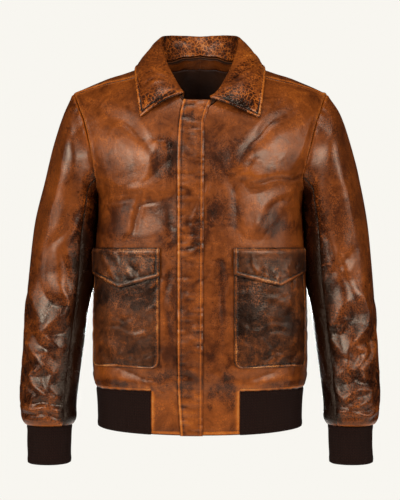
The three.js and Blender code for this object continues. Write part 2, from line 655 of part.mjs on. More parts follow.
placeSheet("pocket_flap_left", pocketFlapSheet(POCKET.left));
placeSheet("pocket_flap_right", pocketFlapSheet(POCKET.right).mirrored());
placeSheet("storm_flap", stormFlapSheet());
place("zip", zipGeometry(), BRASS);

export default group;
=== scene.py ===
"""A waist-length leather flight jacket, zipped shut and filled out as if worn, with nobody inside.

Sizes are in millimetres until a mesh is made, which is in metres. Up is +Z, the front is towards -Y and
the wearer's left towards +X. Every piece is a thin wall of cloth on one of four curved forms: the body, a
sleeve, a cuff or the collar. A piece of the right side is made as if on the left and mirrored. On the body,
`phi` goes round from the middle (0) to the side (90 degrees), and `turn` goes from the shoulder ridge (0)
over the shoulder (1) and on down: above 0 in front, below 0 behind.
"""

import bpy
import numpy as np
from bpy.props import FloatProperty, FloatVectorProperty, PointerProperty
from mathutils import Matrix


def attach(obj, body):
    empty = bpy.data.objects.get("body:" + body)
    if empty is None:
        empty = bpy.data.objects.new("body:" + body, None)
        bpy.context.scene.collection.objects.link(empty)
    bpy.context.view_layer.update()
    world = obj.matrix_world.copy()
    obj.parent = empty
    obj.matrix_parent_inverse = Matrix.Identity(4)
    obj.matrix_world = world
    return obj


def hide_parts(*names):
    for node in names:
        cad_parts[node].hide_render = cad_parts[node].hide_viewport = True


bl_info = {
    "name": "Leather Flight Jacket",
    "version": (1, 0, 0),
    "blender": (4, 5, 0),
    "location": "3D View > Sidebar > Jacket",
    "description": "Makes a worn leather flight jacket, piece by piece",
    "category": "Object",
}

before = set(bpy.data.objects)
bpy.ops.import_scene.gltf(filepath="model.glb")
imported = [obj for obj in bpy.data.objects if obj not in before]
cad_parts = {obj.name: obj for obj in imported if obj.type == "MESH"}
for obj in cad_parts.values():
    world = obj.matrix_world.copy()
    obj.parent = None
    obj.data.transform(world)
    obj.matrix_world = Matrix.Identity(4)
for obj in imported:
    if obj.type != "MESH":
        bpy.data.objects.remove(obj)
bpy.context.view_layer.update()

# ------------------------------------------------------------------ driving dimensions, millimetres

LEATHER = 1.3
POCKET_HIDE = 1.6
FOLDED = 2.4
RIB_KNIT = 3.0
LINING = 1.1
SEAM = 0.3
LAID_ON = 1.2
SMALL_CELL = 2.6  # spacing of the mesh of the pocket flaps
STITCH_INSET = 6.0  # from a turned edge to its topstitching
SEAM_STITCH, SHOULDER_STITCH, RIB_STITCH = 5.5, 4.5, 5.0  # from a seam to its topstitching

HEM_Z, HEM_DIP = -645.0, 7.0
RIB_TOP_Z = -577.0
UNDERARM_Z = -240.0
SHOULDER_Z = -58.0
RIDGE_Y = 8.0
ROUNDNESS = 2.5
NECK_HALF_WIDTH, NECK_MID_Y = 75.0, -16.0
NECK_DEPTH_FRONT, NECK_DEPTH_BACK = 89.0, 86.0
SIDE_PHI = 89.97
FULL_Z = -430.0  # where the body is fullest, and the cloth's columns are spaced out
RIB_END_X = {"right": 85.0, "left": 69.0}
EDGE_X = {"right": 22.0, "left": -6.0}
STORM_TOP_Z = -80.0
POCKET_TOP_Z, POCKET_FOOT_Z, POCKET_CORNER = -335.0, -536.0, 13.0
POCKET = {
    "right": dict(inner=69, outer_phi=75.2, point=(134, -399), flap_inner_z=-379, flap_outer_z=-376),
    "left": dict(inner=58, outer_phi=72.1, point=(133, -396), flap_inner_z=-376, flap_outer_z=-373),
}


# ------------------------------------------------------------------ small mathematics


def lerp(a, b, f):
    return a + (b - a) * f


def smooth(low, high, value):
    """0 below low, 1 above high, and an even S between them."""
    f = np.clip((value - low) / (high - low), 0, 1)
    return f * f * (3 - 2 * f)


def bump(distance, width):
    return np.exp(-((distance / width) ** 2))


def through(*pairs):
    """A smooth curve through (place, value) pairs that never overshoots them."""
    x, y = np.array(pairs, float).T
    slope = np.diff(y) / np.diff(x)
    a, b = slope[:-1], slope[1:]
    same = a * b > 0
    inner = np.where(same, 2 * a * b / np.where(same, a + b, 1), 0)
    tangent = np.concatenate([slope[:1], inner, slope[-1:]])

    def value(at):
        at = np.clip(at, x[0], x[-1])
        i = np.clip(np.searchsorted(x, at, side="right") - 1, 0, len(x) - 2)
        h = x[i + 1] - x[i]
        t = (at - x[i]) / h
        t2, t3 = t * t, t * t * t
        start = (2 * t3 - 3 * t2 + 1) * y[i] + (t3 - 2 * t2 + t) * h * tangent[i]
        return start + (3 * t2 - 2 * t3) * y[i + 1] + (t3 - t2) * h * tangent[i + 1]

    return value


def along(points, at):
    """Points at `at` (0 to n - 1) on a Catmull-Rom curve through the n points of the last axis but one."""
    first = 2 * points[..., :1, :] - points[..., 1:2, :]
    last = 2 * points[..., -1:, :] - points[..., -2:-1, :]
    row = np.concatenate([first, points, last], axis=-2)
    i = np.clip(np.floor(at).astype(int), 0, points.shape[-2] - 2)
    t = (at - i)[..., None]
    a, b, c, d = (np.take_along_axis(row, (i + k)[..., None], axis=-2) for k in range(4))
    return 0.5 * (2 * b + (c - a) * t + (2 * a - 5 * b + 4 * c - d) * t**2 + (3 * b - a - 3 * c + d) * t**3)


def unit(v):
    return v / np.maximum(np.linalg.norm(v, axis=-1, keepdims=True), 1e-9)


def noise(x, y, size, seed):
    """Smooth noise, 0 to 1, with patches of that size. It is the same on every run."""
    x, y = x / size, y / size
    ix, iy = np.floor(x).astype(np.int64), np.floor(y).astype(np.int64)

    def corner(dx, dy):
        h = ((ix + dx) * 374761393 + (iy + dy) * 668265263 + seed * 974634777) & 0xFFFFFFFF
        h = ((h ^ (h >> 13)) * 1274126177) & 0xFFFFFFFF
        return ((h ^ (h >> 16)) & 0xFFFF) / 65535

    fx, fy = (f * f * f * (f * (f * 6 - 15) + 10) for f in (x - ix, y - iy))
    return lerp(lerp(corner(0, 0), corner(1, 0), fx), lerp(corner(0, 1), corner(1, 1), fx), fy)


def ridged(x, y, size, seed):
    """Noise, 0 to 1, with narrow crests that wander like creases."""
    return 1 - np.abs(2 * noise(x, y, size, seed) - 1)


EDGE_ROWS = np.array((0.0, 0.8, 2.0, 3.8))  # the cloth's mesh is closer beside its edges


def evenly(lengths, gap):
    """Places 0 to 1 along a line, an even gap apart, and closer at both ends; lengths is a running total."""
    total, last = lengths[-1], EDGE_ROWS[-1]
    count = max(2, int(round((total - 2 * last) / gap)))
    middle = np.linspace(last, total - last, count + 1)
    marks = np.concatenate([EDGE_ROWS[:-1], middle, total - EDGE_ROWS[:-1][::-1]])
    return np.interp(marks, lengths, np.linspace(0, 1, len(lengths)))


def even_rows(length, gap):
    return evenly(np.linspace(0, length, 50), gap)


def running(points):
    """Length so far along a line of points."""
    step = np.linalg.norm(np.diff(points, axis=0), axis=-1)
    return np.concatenate([[0], np.cumsum(step)])


def from_edge(grid, axis, end):
    """Length along the cloth from one edge of a grid of points to each point."""
    step = np.linalg.norm(np.diff(grid, axis=axis), axis=-1)
    total = np.cumsum(step, axis=axis)
    pad = [(0, 0), (0, 0)]
    pad[axis] = (1, 0)
    total = np.pad(total, pad)
    return total if end == 0 else np.take(total, [-1], axis=axis) - total


def from_ends(grid, axis):
    """Length along the cloth to each point from the nearer of two opposite edges."""
    return np.minimum(from_edge(grid, axis, 0), from_edge(grid, axis, 1))


# ------------------------------------------------------------------ the body form

half_width = through(
    (-652, 180), (-600, 182), (-577, 184), (-562, 189), (-525, 190.5), (-450, 190), (-380, 188), (-310, 184),
    (-265, 181), (-240, 181), (-215, 188), (-190, 200), (-165, 212), (-140, 221), (-110, 228), (-85, 233),
    (-58, 237),
)
depth_front = through(
    (-652, 108), (-600, 110), (-577, 113), (-560, 119), (-525, 123), (-400, 127), (-300, 130), (-200, 131),
    (-120, 128), (0, 125),
)
depth_back = through(
    (-652, 103), (-600, 105), (-577, 108), (-560, 115), (-525, 117), (-400, 114), (-300, 116), (-200, 121),
    (-120, 120), (0, 115),
)
RIDGE = (
    (75, 0), (115, -14), (135, -21), (160, -28.5), (178, -35.5), (196, -43), (214, -51), (227, -58),
    (245, -72),
)


def x_at(phi, z):
    return half_width(z) * np.sin(np.radians(phi))


def phi_at(x, z):
    return np.degrees(np.arcsin(np.clip(x / half_width(z), -1, 1)))


class Face:
    """The front or the back of the body."""

    def __init__(self, sign, reach, depth, ridge):
        self.sign, self.reach, self.depth, self.ridge = sign, reach, depth, ridge

    def drop(self, turn):
        """How far below the ridge a turn lies."""
        over = 1 - np.cos(np.minimum(turn, 1) * np.pi / 2)
        return self.reach * np.where(turn < 1, over, 1 + (turn - 1) * np.pi / 2)

    def turn_at(self, phi, z):
        """The turn at height z."""
        share = np.maximum(0, (self.ridge(np.abs(x_at(phi, z))) - z) / self.reach)
        over = np.arccos(1 - np.minimum(share, 1)) * 2 / np.pi
        return -self.sign * np.where(share < 1, over, 1 + (share - 1) * 2 / np.pi)


FRONT = Face(-1, 185, depth_front, through((0, 6), *RIDGE))
BACK = Face(1, 170, depth_back, through((0, 46), (28, 37), (53, 15), *RIDGE))


def ahead_of(side):
    return np.maximum(0, 1 - np.abs(side) ** ROUNDNESS) ** (1 / ROUNDNESS)


def body_point(phi, turn):
    phi, turn = np.broadcast_arrays(np.asarray(phi, float), np.asarray(turn, float))
    side = np.sin(np.radians(phi))
    found = []
    for face in (FRONT, BACK):
        drop = face.drop(np.abs(turn))
        z = -drop
        for _ in range(14):
            x = half_width(z) * side
            z = face.ridge(np.abs(x)) - drop
        over = np.sin(np.minimum(np.abs(turn), 1) * np.pi / 2)
        found.append(np.stack([x, RIDGE_Y + face.sign * face.depth(z) * ahead_of(side) * over, z], -1))
    return np.where((turn < 0)[..., None], found[1], found[0])


def normal_of(shape, u, v, du, dv):
    across = shape(u + du, v) - shape(u - du, v)
    down = shape(u, v + dv) - shape(u, v - dv)
    return unit(np.cross(across, down))


def body_normal(phi, turn):
    return -normal_of(body_point, np.clip(phi, -89.5, 89.5), turn, 0.4, 0.004)


def on_body(phi, turn):
    return body_point(phi, turn), body_normal(phi, turn)


def on_front(x, z):
    phi = phi_at(x, z)
    return phi, FRONT.turn_at(phi, z)


def neckline(angle):
    """phi and turn on the neck's oval; angle 0 is the front and 180 the back."""
    angle = np.asarray(angle, float)
    x = NECK_HALF_WIDTH * np.sin(np.radians(angle))
    ahead = np.cos(np.radians(angle))
    y = NECK_MID_Y - np.where(ahead > 0, NECK_DEPTH_FRONT, NECK_DEPTH_BACK) * ahead
    found = []
    for face in (FRONT, BACK):
        z = np.zeros_like(x)
        for _ in range(12):
            reach = face.depth(z) * ahead_of(x / half_width(z))
            turn = np.arcsin(np.minimum(1, np.abs(y - RIDGE_Y) / reach)) * 2 / np.pi
            z = face.ridge(np.abs(x)) - face.drop(turn)
        found.append((phi_at(x, z), -face.sign * turn))
    behind = y > RIDGE_Y
    return np.where(behind, found[1][0], found[0][0]), np.where(behind, found[1][1], found[0][1])


NECK_RIDGE_ANGLE = float(np.degrees(np.arccos((NECK_MID_Y - RIDGE_Y) / NECK_DEPTH_BACK)))
armhole_front = through(
    (0, 73.3), (46, 66.2), (64, 63), (92, 61.8), (110, 63.7), (130, 68.5), (145, 74.8), (158, 81), (180, 90)
)
armhole_back = through(
    (0, 73.3), (46, 68.5), (64, 66.2), (92, 65.3), (110, 66.7), (130, 70.7), (145, 76.1), (158, 81.5),
    (180, 90),
)
# The shoulder seam runs between these angles, and each panel stops a step short of it.
SEAM_ARMHOLE_ANGLE, SEAM_NECK_ANGLE, SEAM_STEP = 12.0, 65.0, 0.125
# Above the underarm a panel has so many parts, of which the first few end at the middle or the zip.
HALF_ROWS, MIDDLE_ROWS = 10, 5
FRONT_RISE, BACK_RISE, SHOULDER_RUN = 226, 240, 32  # from the underarm up, and from the ridge to the seam


def armhole(angle):
    """phi and turn for x above 0. Angle 0 is the shoulder point, 90 the front, 180 the underarm."""
    angle = np.mod(np.asarray(angle, float), 360)
    behind = angle > 180
    down = np.where(behind, 360 - angle, angle)
    z = lerp(UNDERARM_Z, SHOULDER_Z, (1 + np.cos(np.radians(down))) / 2)
    phi = np.where(behind, armhole_back(down), armhole_front(down))
    return phi, np.where(behind, BACK.turn_at(phi, z), FRONT.turn_at(phi, z))


def body_rows(face, start, end, f, settle):
    """Rows of the body form between two lists of (phi, turn); settle keeps them level near the underarm."""
    (p0, t0), (p1, t1) = ([np.asarray(v)[:, None] for v in pair] for pair in (start, end))
    settle = np.asarray(settle)[:, None]
    phi = lerp(p0, p1, f)
    level = lambda at: face.turn_at(at, UNDERARM_Z)
    straighten = level(phi) - lerp(level(p0), level(p1), f)
    return phi, lerp(t0, t1, f) + settle * straighten


def hem_at(x):
    return HEM_Z - HEM_DIP * np.maximum(0, 1 - (x / 180) ** 2)


# ------------------------------------------------------------------ creases


def fold(x, z, points, height, width, lean=0.0):
    """A soft ridge (height above 0) or trough along a line. lean throws one side up and the other down."""
    line = np.array(points, float)
    span = 3.2 * width
    near = (x > line[:, 0].min() - span) & (x < line[:, 0].max() + span)
    near &= (z > line[:, 1].min() - span) & (z < line[:, 1].max() + span)
    out = np.zeros_like(x)
    if not near.any():
        return out
    px, pz = x[near], z[near]
    best = np.full(px.shape, 1e9)
    run, side = np.zeros_like(px), np.zeros_like(px)
    lengths = running(line)
    for (start, end), before in zip(zip(line[:-1], line[1:]), lengths):
        d = end - start
        size = np.hypot(*d)
        t = np.clip(((px - start[0]) * d[0] + (pz - start[1]) * d[1]) / size**2, 0, 1)
        ox, oz = px - start[0] - t * d[0], pz - start[1] - t * d[1]
        apart = np.hypot(ox, oz)
        closer = apart < best
        best = np.where(closer, apart, best)
        run = np.where(closer, (before + t * size) / lengths[-1], run)
        side = np.where(closer, np.sign(d[0] * oz - d[1] * ox), side)
    q = best / width
    ends = np.sin(np.pi * np.clip(0.06 + 0.88 * run, 0, 1)) ** 0.7
    shape = np.exp(-1.25 * q**1.5) - 0.3 * bump(q - 2.2, 0.9) + lean * side * q * np.exp(0.5 - q * q)
    out[near] = height * ends * shape
    return out


def facets(x, z, ridges):
    """Flat facets that fall away on both sides of ridge lines and meet in valleys. Each ridge is its height,
    its width on the left of the line and on the right, as one walks along it, and its points."""
    out = np.zeros_like(x)
    for height, left, right, points in ridges:
        line = np.array(points, float)
        apart, share = np.full(x.shape, 1e9), np.zeros_like(x)
        for start, end in zip(line[:-1], line[1:]):
            d = end - start
            t = np.clip(((x - start[0]) * d[0] + (z - start[1]) * d[1]) / np.sum(d * d), 0, 1)
            ox, oz = x - start[0] - t * d[0], z - start[1] - t * d[1]
            far = np.hypot(ox, oz)
            # Blend the two widths across the line's ends, so that no step is left there.
            turn = (d[0] * oz - d[1] * ox) / (np.hypot(*d) * np.maximum(far, 0.01))
            nearer = far < apart
            apart = np.where(nearer, far, apart)
            share = np.where(nearer, far / lerp(right, left, smooth(-0.6, 0.6, turn)), share)
        out = np.maximum(out, height * (1 - share))
    return out


def crumples(x, z, seed, box, count, length, height, width, angle, spread):
    """Small creases scattered over a box (x0, z0, x1, z1), lying near an angle in degrees."""
    rng = np.random.default_rng(seed)
    out = np.zeros_like(x)
    for _ in range(count):
        cx, cz = rng.uniform(box[0], box[2]), rng.uniform(box[1], box[3])
        way = np.radians(angle + rng.normal(0, spread))
        half = length * rng.uniform(0.3, 0.75)
        bend = half * rng.uniform(-0.35, 0.35)
        dx, dz = np.cos(way), np.sin(way)
        middle = (cx - dz * bend, cz + dx * bend)
        line = [(cx - dx * half, cz - dz * half), middle, (cx + dx * half, cz + dz * half)]
        size = height * rng.uniform(0.5, 1.2) * rng.choice([-1, 1])
        out += fold(x, z, line, size, width * rng.uniform(0.6, 1.3), rng.uniform(-0.5, 0.5))
    return out


def wander(x, z, amount, size, seed):
    """The same place moved a little, so that lines drawn on it aren't straight."""
    return (
        x + amount * (2 * noise(x, z, size, seed) - 1),
        z + amount * (2 * noise(x, z, size, seed + 1) - 1),
    )


def hide_grain(x, z, seed):
    """Soft unevenness that all leather has: slow waves, and short creases in patches."""
    slow = 2.4 * (noise(x, z, 85, seed) - 0.5) + 0.7 * (noise(x, z, 38, seed + 1) - 0.5)
    x, z = wander(x, z, 5, 30, seed + 9)
    patchy = smooth(0.35, 0.75, noise(x, z, 48, seed + 2))
    return slow + patchy * (0.35 * ridged(x, z, 21, seed + 3) ** 2 + 0.25 * ridged(x, z, 10, seed + 4) ** 2)


# Height, width, lean and points (x, z) of the main creases of the fronts.
FRONT_FOLDS = (
    (-3.4, 12, 0.3, ((-176, -88), (-130, -122), (-92, -154), (-74, -184))),
    (-1.3, 2.6, 0.2, ((-166, -253), (-140, -251), (-114, -247))),
    (-1.2, 2.6, 0.2, ((-112, -265), (-92, -258), (-70, -256))),
    (-2.2, 4, 0.3, ((-96, -238), (-101, -262), (-116, -284), (-119, -304))),
    (-1.1, 7, 0.3, ((-60, -250), (-54, -285), (-52, -322))),
    (-3.4, 10, -0.3, ((176, -84), (130, -118), (92, -150), (74, -176))),
    (-1.7, 2.8, 0.3, ((84, -217), (112, -222), (150, -216), (172, -206))),
    (-1.4, 5, -0.3, ((106, -283), (122, -267), (150, -246))),
    (-1.0, 2.4, 0.0, ((50, -204), (76, -192), (92, -178))),
    (-0.8, 7, -0.3, ((50, -200), (60, -240), (58, -300))),
    (-2.4, 9, 0.2, ((-182, -504), (-120, -548), (-52, -556))),
    (-2.4, 9, -0.2, ((182, -500), (132, -549), (50, -560))),
    (1.0, 8, 0.0, ((-178, -549), (-110, -563), (-60, -565))),
    (1.0, 8, 0.0, ((178, -547), (120, -564), (46, -567))),
    (-1.4, 5, 0.4, ((-52, -372), (-58, -430), (-50, -500))),
    (-1.2, 5, -0.4, ((40, -350), (46, -420), (42, -498))),
)
# Height, width on each side and points of the ridges of the chest, pulled towards the armholes.
FRONT_RIDGES = (
    (7.0, 80, 34, ((-190, -206), (-150, -218), (-108, -231))),
    (6.0, 60, 26, ((-108, -231), (-92, -208), (-74, -168))),
    (4.0, 14, 34, ((-112, -230), (-104, -240), (-111, -262), (-125, -284), (-128, -304))),
    (1.5, 30, 44, ((-128, -316), (-94, -314), (-62, -300))),
    (6.5, 76, 24, ((92, -206), (120, -212), (142, -205))),
    (6.0, 66, 24, ((142, -205), (166, -160), (192, -104))),
    (3.6, 34, 30, ((96, -288), (106, -268), (122, -256), (150, -236), (180, -224))),
)
# The same for the back, as seen from behind: the folds between the shoulder blades and above the rib.
BACK_FOLDS = (
    (-3.4, 12, 0.3, ((-186, -120), (-140, -160), (-96, -206))),
    (-3.4, 12, -0.3, ((184, -124), (146, -164), (92, -204))),
    (-2.2, 14, 0.2, ((-70, -130), (0, -142), (74, -128))),
    (-2.0, 9, 0.3, ((-40, -280), (-26, -350), (-46, -430))),
    (-1.8, 9, -0.3, ((52, -290), (34, -370), (50, -450))),
    (-2.4, 9, 0.2, ((-166, -420), (-110, -470), (-30, -486))),
    (-2.4, 9, -0.2, ((164, -410), (104, -462), (20, -500))),
    (-2.6, 8, 0.2, ((-176, -506), (-90, -548), (10, -552))),
    (-2.6, 8, -0.2, ((176, -500), (100, -544), (-10, -556))),
    (2.2, 9, 0.0, ((-170, -544), (-60, -564), (40, -562))),
    (2.0, 9, 0.0, ((166, -540), (80, -562), (0, -564))),
)
BACK_RIDGES = (
    (6.0, 60, 28, ((-186, -222), (-140, -246), (-100, -250), (-78, -214))),
    (6.0, 60, 28, ((78, -214), (100, -250), (140, -246), (186, -222))),
    (3.5, 40, 40, ((-150, -380), (-60, -350), (30, -372), (140, -340))),
)


def body_relief(phi, turn, points):
    """How far the leather of the body stands out from its form, for the panels and all that lies on them."""
    x, z = points[..., 0], points[..., 2]
    front = turn >= 0
    wx, wz = wander(x, z, 7, 42, 11)
    out = np.zeros_like(x)
    sides = ((front, FRONT_FOLDS, FRONT_RIDGES, 21), (~front, BACK_FOLDS, BACK_RIDGES, 51))
    for mask, table, ridges, seed in sides:
        part = 0.7 * hide_grain(x, z, seed) + blurred(facets(wx, wz, ridges), 1)
        for height, width, lean, line in table:
            part += fold(wx, wz, line, height, width, lean)
        part += crumples(wx, wz, seed + 1, (-190, -330, 190, -120), 22, 40, 0.5, 3.2, 60, 60)
        part += crumples(wx, wz, seed + 2, (-190, -560, 190, -330), 30, 36, 0.7, 3.4, 75, 50)
        out += np.where(mask, part, 0)
    # Gathers above the rib, and calm cloth at the side seam, over the shoulder and under the collar.
    gather = np.sin(2 * np.pi * (x / 17 + 1.6 * noise(x, z, 60, 91))) * np.exp(-(z - RIB_TOP_Z) / 15)
    out += 0.6 * np.where(z > RIB_TOP_Z - 1, gather, 0)
    calm = 1 - 0.75 * smooth(74, 90, np.abs(phi))
    out *= calm * (0.3 + 0.7 * smooth(0.12, 0.5, np.abs(turn)))
    round_neck = np.hypot(x / 118, (points[..., 1] + 16) / 132)
    keep = smooth(0.92, 1.12, round_neck)
    out *= np.where(z > -150, 0.2 + 0.8 * keep, 1)
    return out


# Height, width, lean and points (angle, z) of the soft folds of each sleeve; 90 is the middle of its front.
SLEEVE_FOLDS = {
    "right": (
        (3.4, 14, 0.0, ((60, -118), (68, -200), (72, -316))),
        (-0.6, 14, 0.3, ((104, -130), (100, -200), (98, -286))),
        (-2.2, 8, 0.3, ((112, -250), (98, -300), (70, -336))),
        (-1.6, 6, 0.0, ((92, -330), (104, -372), (112, -410))),
        (-2.6, 4, 0.0, ((46, -599), (90, -598), (124, -603))),
        (-2.2, 4, 0.0, ((30, -619), (80, -617), (132, -622))),
    ),
    "left": (
        (3.4, 14, 0.0, ((62, -130), (70, -210), (68, -326))),
        (-0.6, 12, -0.3, ((96, -130), (98, -210), (92, -300))),
        (-1.8, 8, -0.3, ((60, -330), (86, -352), (116, -380))),
        (-1.6, 6, 0.3, ((118, -300), (106, -350), (84, -392))),
        (-2.6, 4, 0.0, ((52, -606), (86, -613), (120, -607))),
        (-2.2, 4, 0.0, ((30, -626), (84, -624), (134, -628))),
    ),
}
# Height, width on each side and points (angle, z) of the crisp ridges below each elbow, where the sleeve has
# buckled in facets.
SLEEVE_RIDGES = {
    "right": (
        (7.5, 27, 27, ((84, -386), (106, -416), (112, -435), (106, -447), (83, -464), (74, -476))),
        (5.5, 24, 24, ((34, -396), (46, -420), (66, -446), (74, -476))),
        (6.0, 19, 19, ((74, -476), (90, -488), (109, -505))),
        (6.5, 18, 18, ((40, -496), (63, -516), (79, -535), (53, -548), (61, -562), (74, -576), (99, -591))),
        (5.0, 16, 16, ((79, -535), (98, -548), (96, -574), (112, -586))),
        (4.5, 15, 15, ((30, -574), (68, -584), (56, -598))),
        (3.5, 11, 11, ((26, -606), (60, -612), (122, -611))),
        (4.0, 17, 17, ((8, -430), (22, -470), (4, -510), (20, -552), (6, -590))),
        (3.5, 16, 16, ((142, -470), (132, -512), (146, -556), (134, -596))),
    ),
    "left": (
        (7.0, 24, 24, ((62, -410), (50, -442), (52, -466), (65, -478), (87, -497), (96, -516), (98, -543))),
        (5.0, 26, 26, ((90, -420), (109, -450), (125, -470))),
        (5.5, 18, 18, ((118, -493), (106, -510), (98, -543), (118, -551))),
        (5.0, 17, 17, ((85, -506), (60, -508), (70, -534), (92, -548))),
        (5.5, 18, 18, ((31, -502), (47, -530), (70, -545), (68, -560))),
        (6.0, 18, 18, (
            (125, -556), (123, -576), (110, -594), (84, -576), (55, -582), (61, -592), (88, -606),
            (116, -614),
        )),
        (3.5, 11, 11, ((120, -620), (62, -621), (26, -612))),
        (4.0, 17, 17, ((8, -440), (22, -480), (4, -520), (20, -562), (6, -596))),
        (3.5, 16, 16, ((144, -450), (134, -496), (148, -540), (136, -590))),
    ),
}


BEHIND_ANGLE = 348  # an angle in front and this less that angle lie opposite each other on a sleeve


def turned_angle(angle):
    """The angle round a sleeve, -60 to 300, so that its seam at the back is in one piece."""
    return np.mod(angle + 60, 360) - 60


def opposite(line, lower):
    """The same line on the back half of the sleeve, somewhat lower."""
    return [(BEHIND_ANGLE - angle, level - lower) for angle, level in line]


def sleeve_relief(side, angle, down, points):
    """How far a sleeve's leather stands out from its form."""
    z = points[..., 2]
    seed = 131 if side == "right" else 171
    turned = turned_angle(angle)
    wa, wz = wander(turned, z, 4, 30, seed)
    out = 0.35 * hide_grain(turned, z, seed + 3)
    ridges = SLEEVE_RIDGES[side]
    # Going round the other way, a ridge has its left on its right.
    behind = [(height, right, left, opposite(line, 6)) for height, left, right, line in ridges]
    out += np.maximum(facets(wa, wz, ridges), facets(wa, wz, behind)) * smooth(-370, -420, z)
    for height, width, lean, line in SLEEVE_FOLDS[side]:
        out += fold(wa, wz, line, height, width, lean)
        out += fold(wa, wz, opposite(line, 9), height, width, -lean)
    out += crumples(wa, wz, seed + 5, (-40, -400, 290, -110), 26, 36, 0.35, 4, 84, 40)
    out += crumples(wa, wz, seed + 7, (-50, -632, 300, -420), 40, 26, 0.7, 3.2, 8, 50)
    # Calm at the armhole seam, near the cuff seam, and where the sleeve faces the body.
    out *= 0.25 + 0.75 * smooth(0, 0.7, down)
    from_body = np.abs(np.mod(angle, 360) - 182)
    facing, outline = bump(from_body, 46), bump(turned, 14)
    touching = 3.6 * bump(from_body, 48) * smooth(-238, -252, z) * smooth(-450, -390, z)
    return out * (1 - 0.8 * facing) * (1 - 0.5 * outline) * smooth(12.2, 11.2, down) + touching


# ------------------------------------------------------------------ meshes


def blurred(field, passes):
    for _ in range(passes):
        p = np.pad(field, 1, mode="edge")
        field = (p[:-2, 1:-1] + p[2:, 1:-1] + p[1:-1, :-2] + p[1:-1, 2:] + 2 * p[1:-1, 1:-1]) / 6
    return field


def crests(relief, scale=1.2):
    """How far each point is on a narrow crest of the relief, and in a narrow dip, 0 to 1."""
    crest = np.clip((blurred(relief, 1) - blurred(relief, 9)) / scale, -1, 1)
    return np.maximum(crest, 0), np.maximum(-crest, 0)


def spots(x, z, *places):
    """A soft-edged, uneven patch at each (x, z, half width, half height, strength)."""
    out = np.zeros_like(x)
    wx, wz = wander(x, z, 9, 24, 301)
    for cx, cz, w, h, strength in places:
        out += strength * smooth(1.25, 0.45, np.hypot((wx - cx) / w, (wz - cz) / h))
    return out


def streaks(x, z, seed):
    """Dark smears that run down the leather beside the middle of the front, 0 to 1."""
    x = x + 5 * noise(x, z, 40, seed + 1)
    beside = bump(x + 52, 20) + 0.8 * bump(x - 32, 30) + 0.5 * bump(x, 26) * smooth(-470, -560, z)
    smear = smooth(0.42, 0.8, noise(x, 0.22 * z, 10, seed))
    return smear * np.minimum(beside, 1) * smooth(0.25, 0.6, noise(x, z, 60, seed + 2))


def new_object(name, data):
    made = bpy.data.objects.new(name, data)
    bpy.context.scene.collection.objects.link(made)
    return made


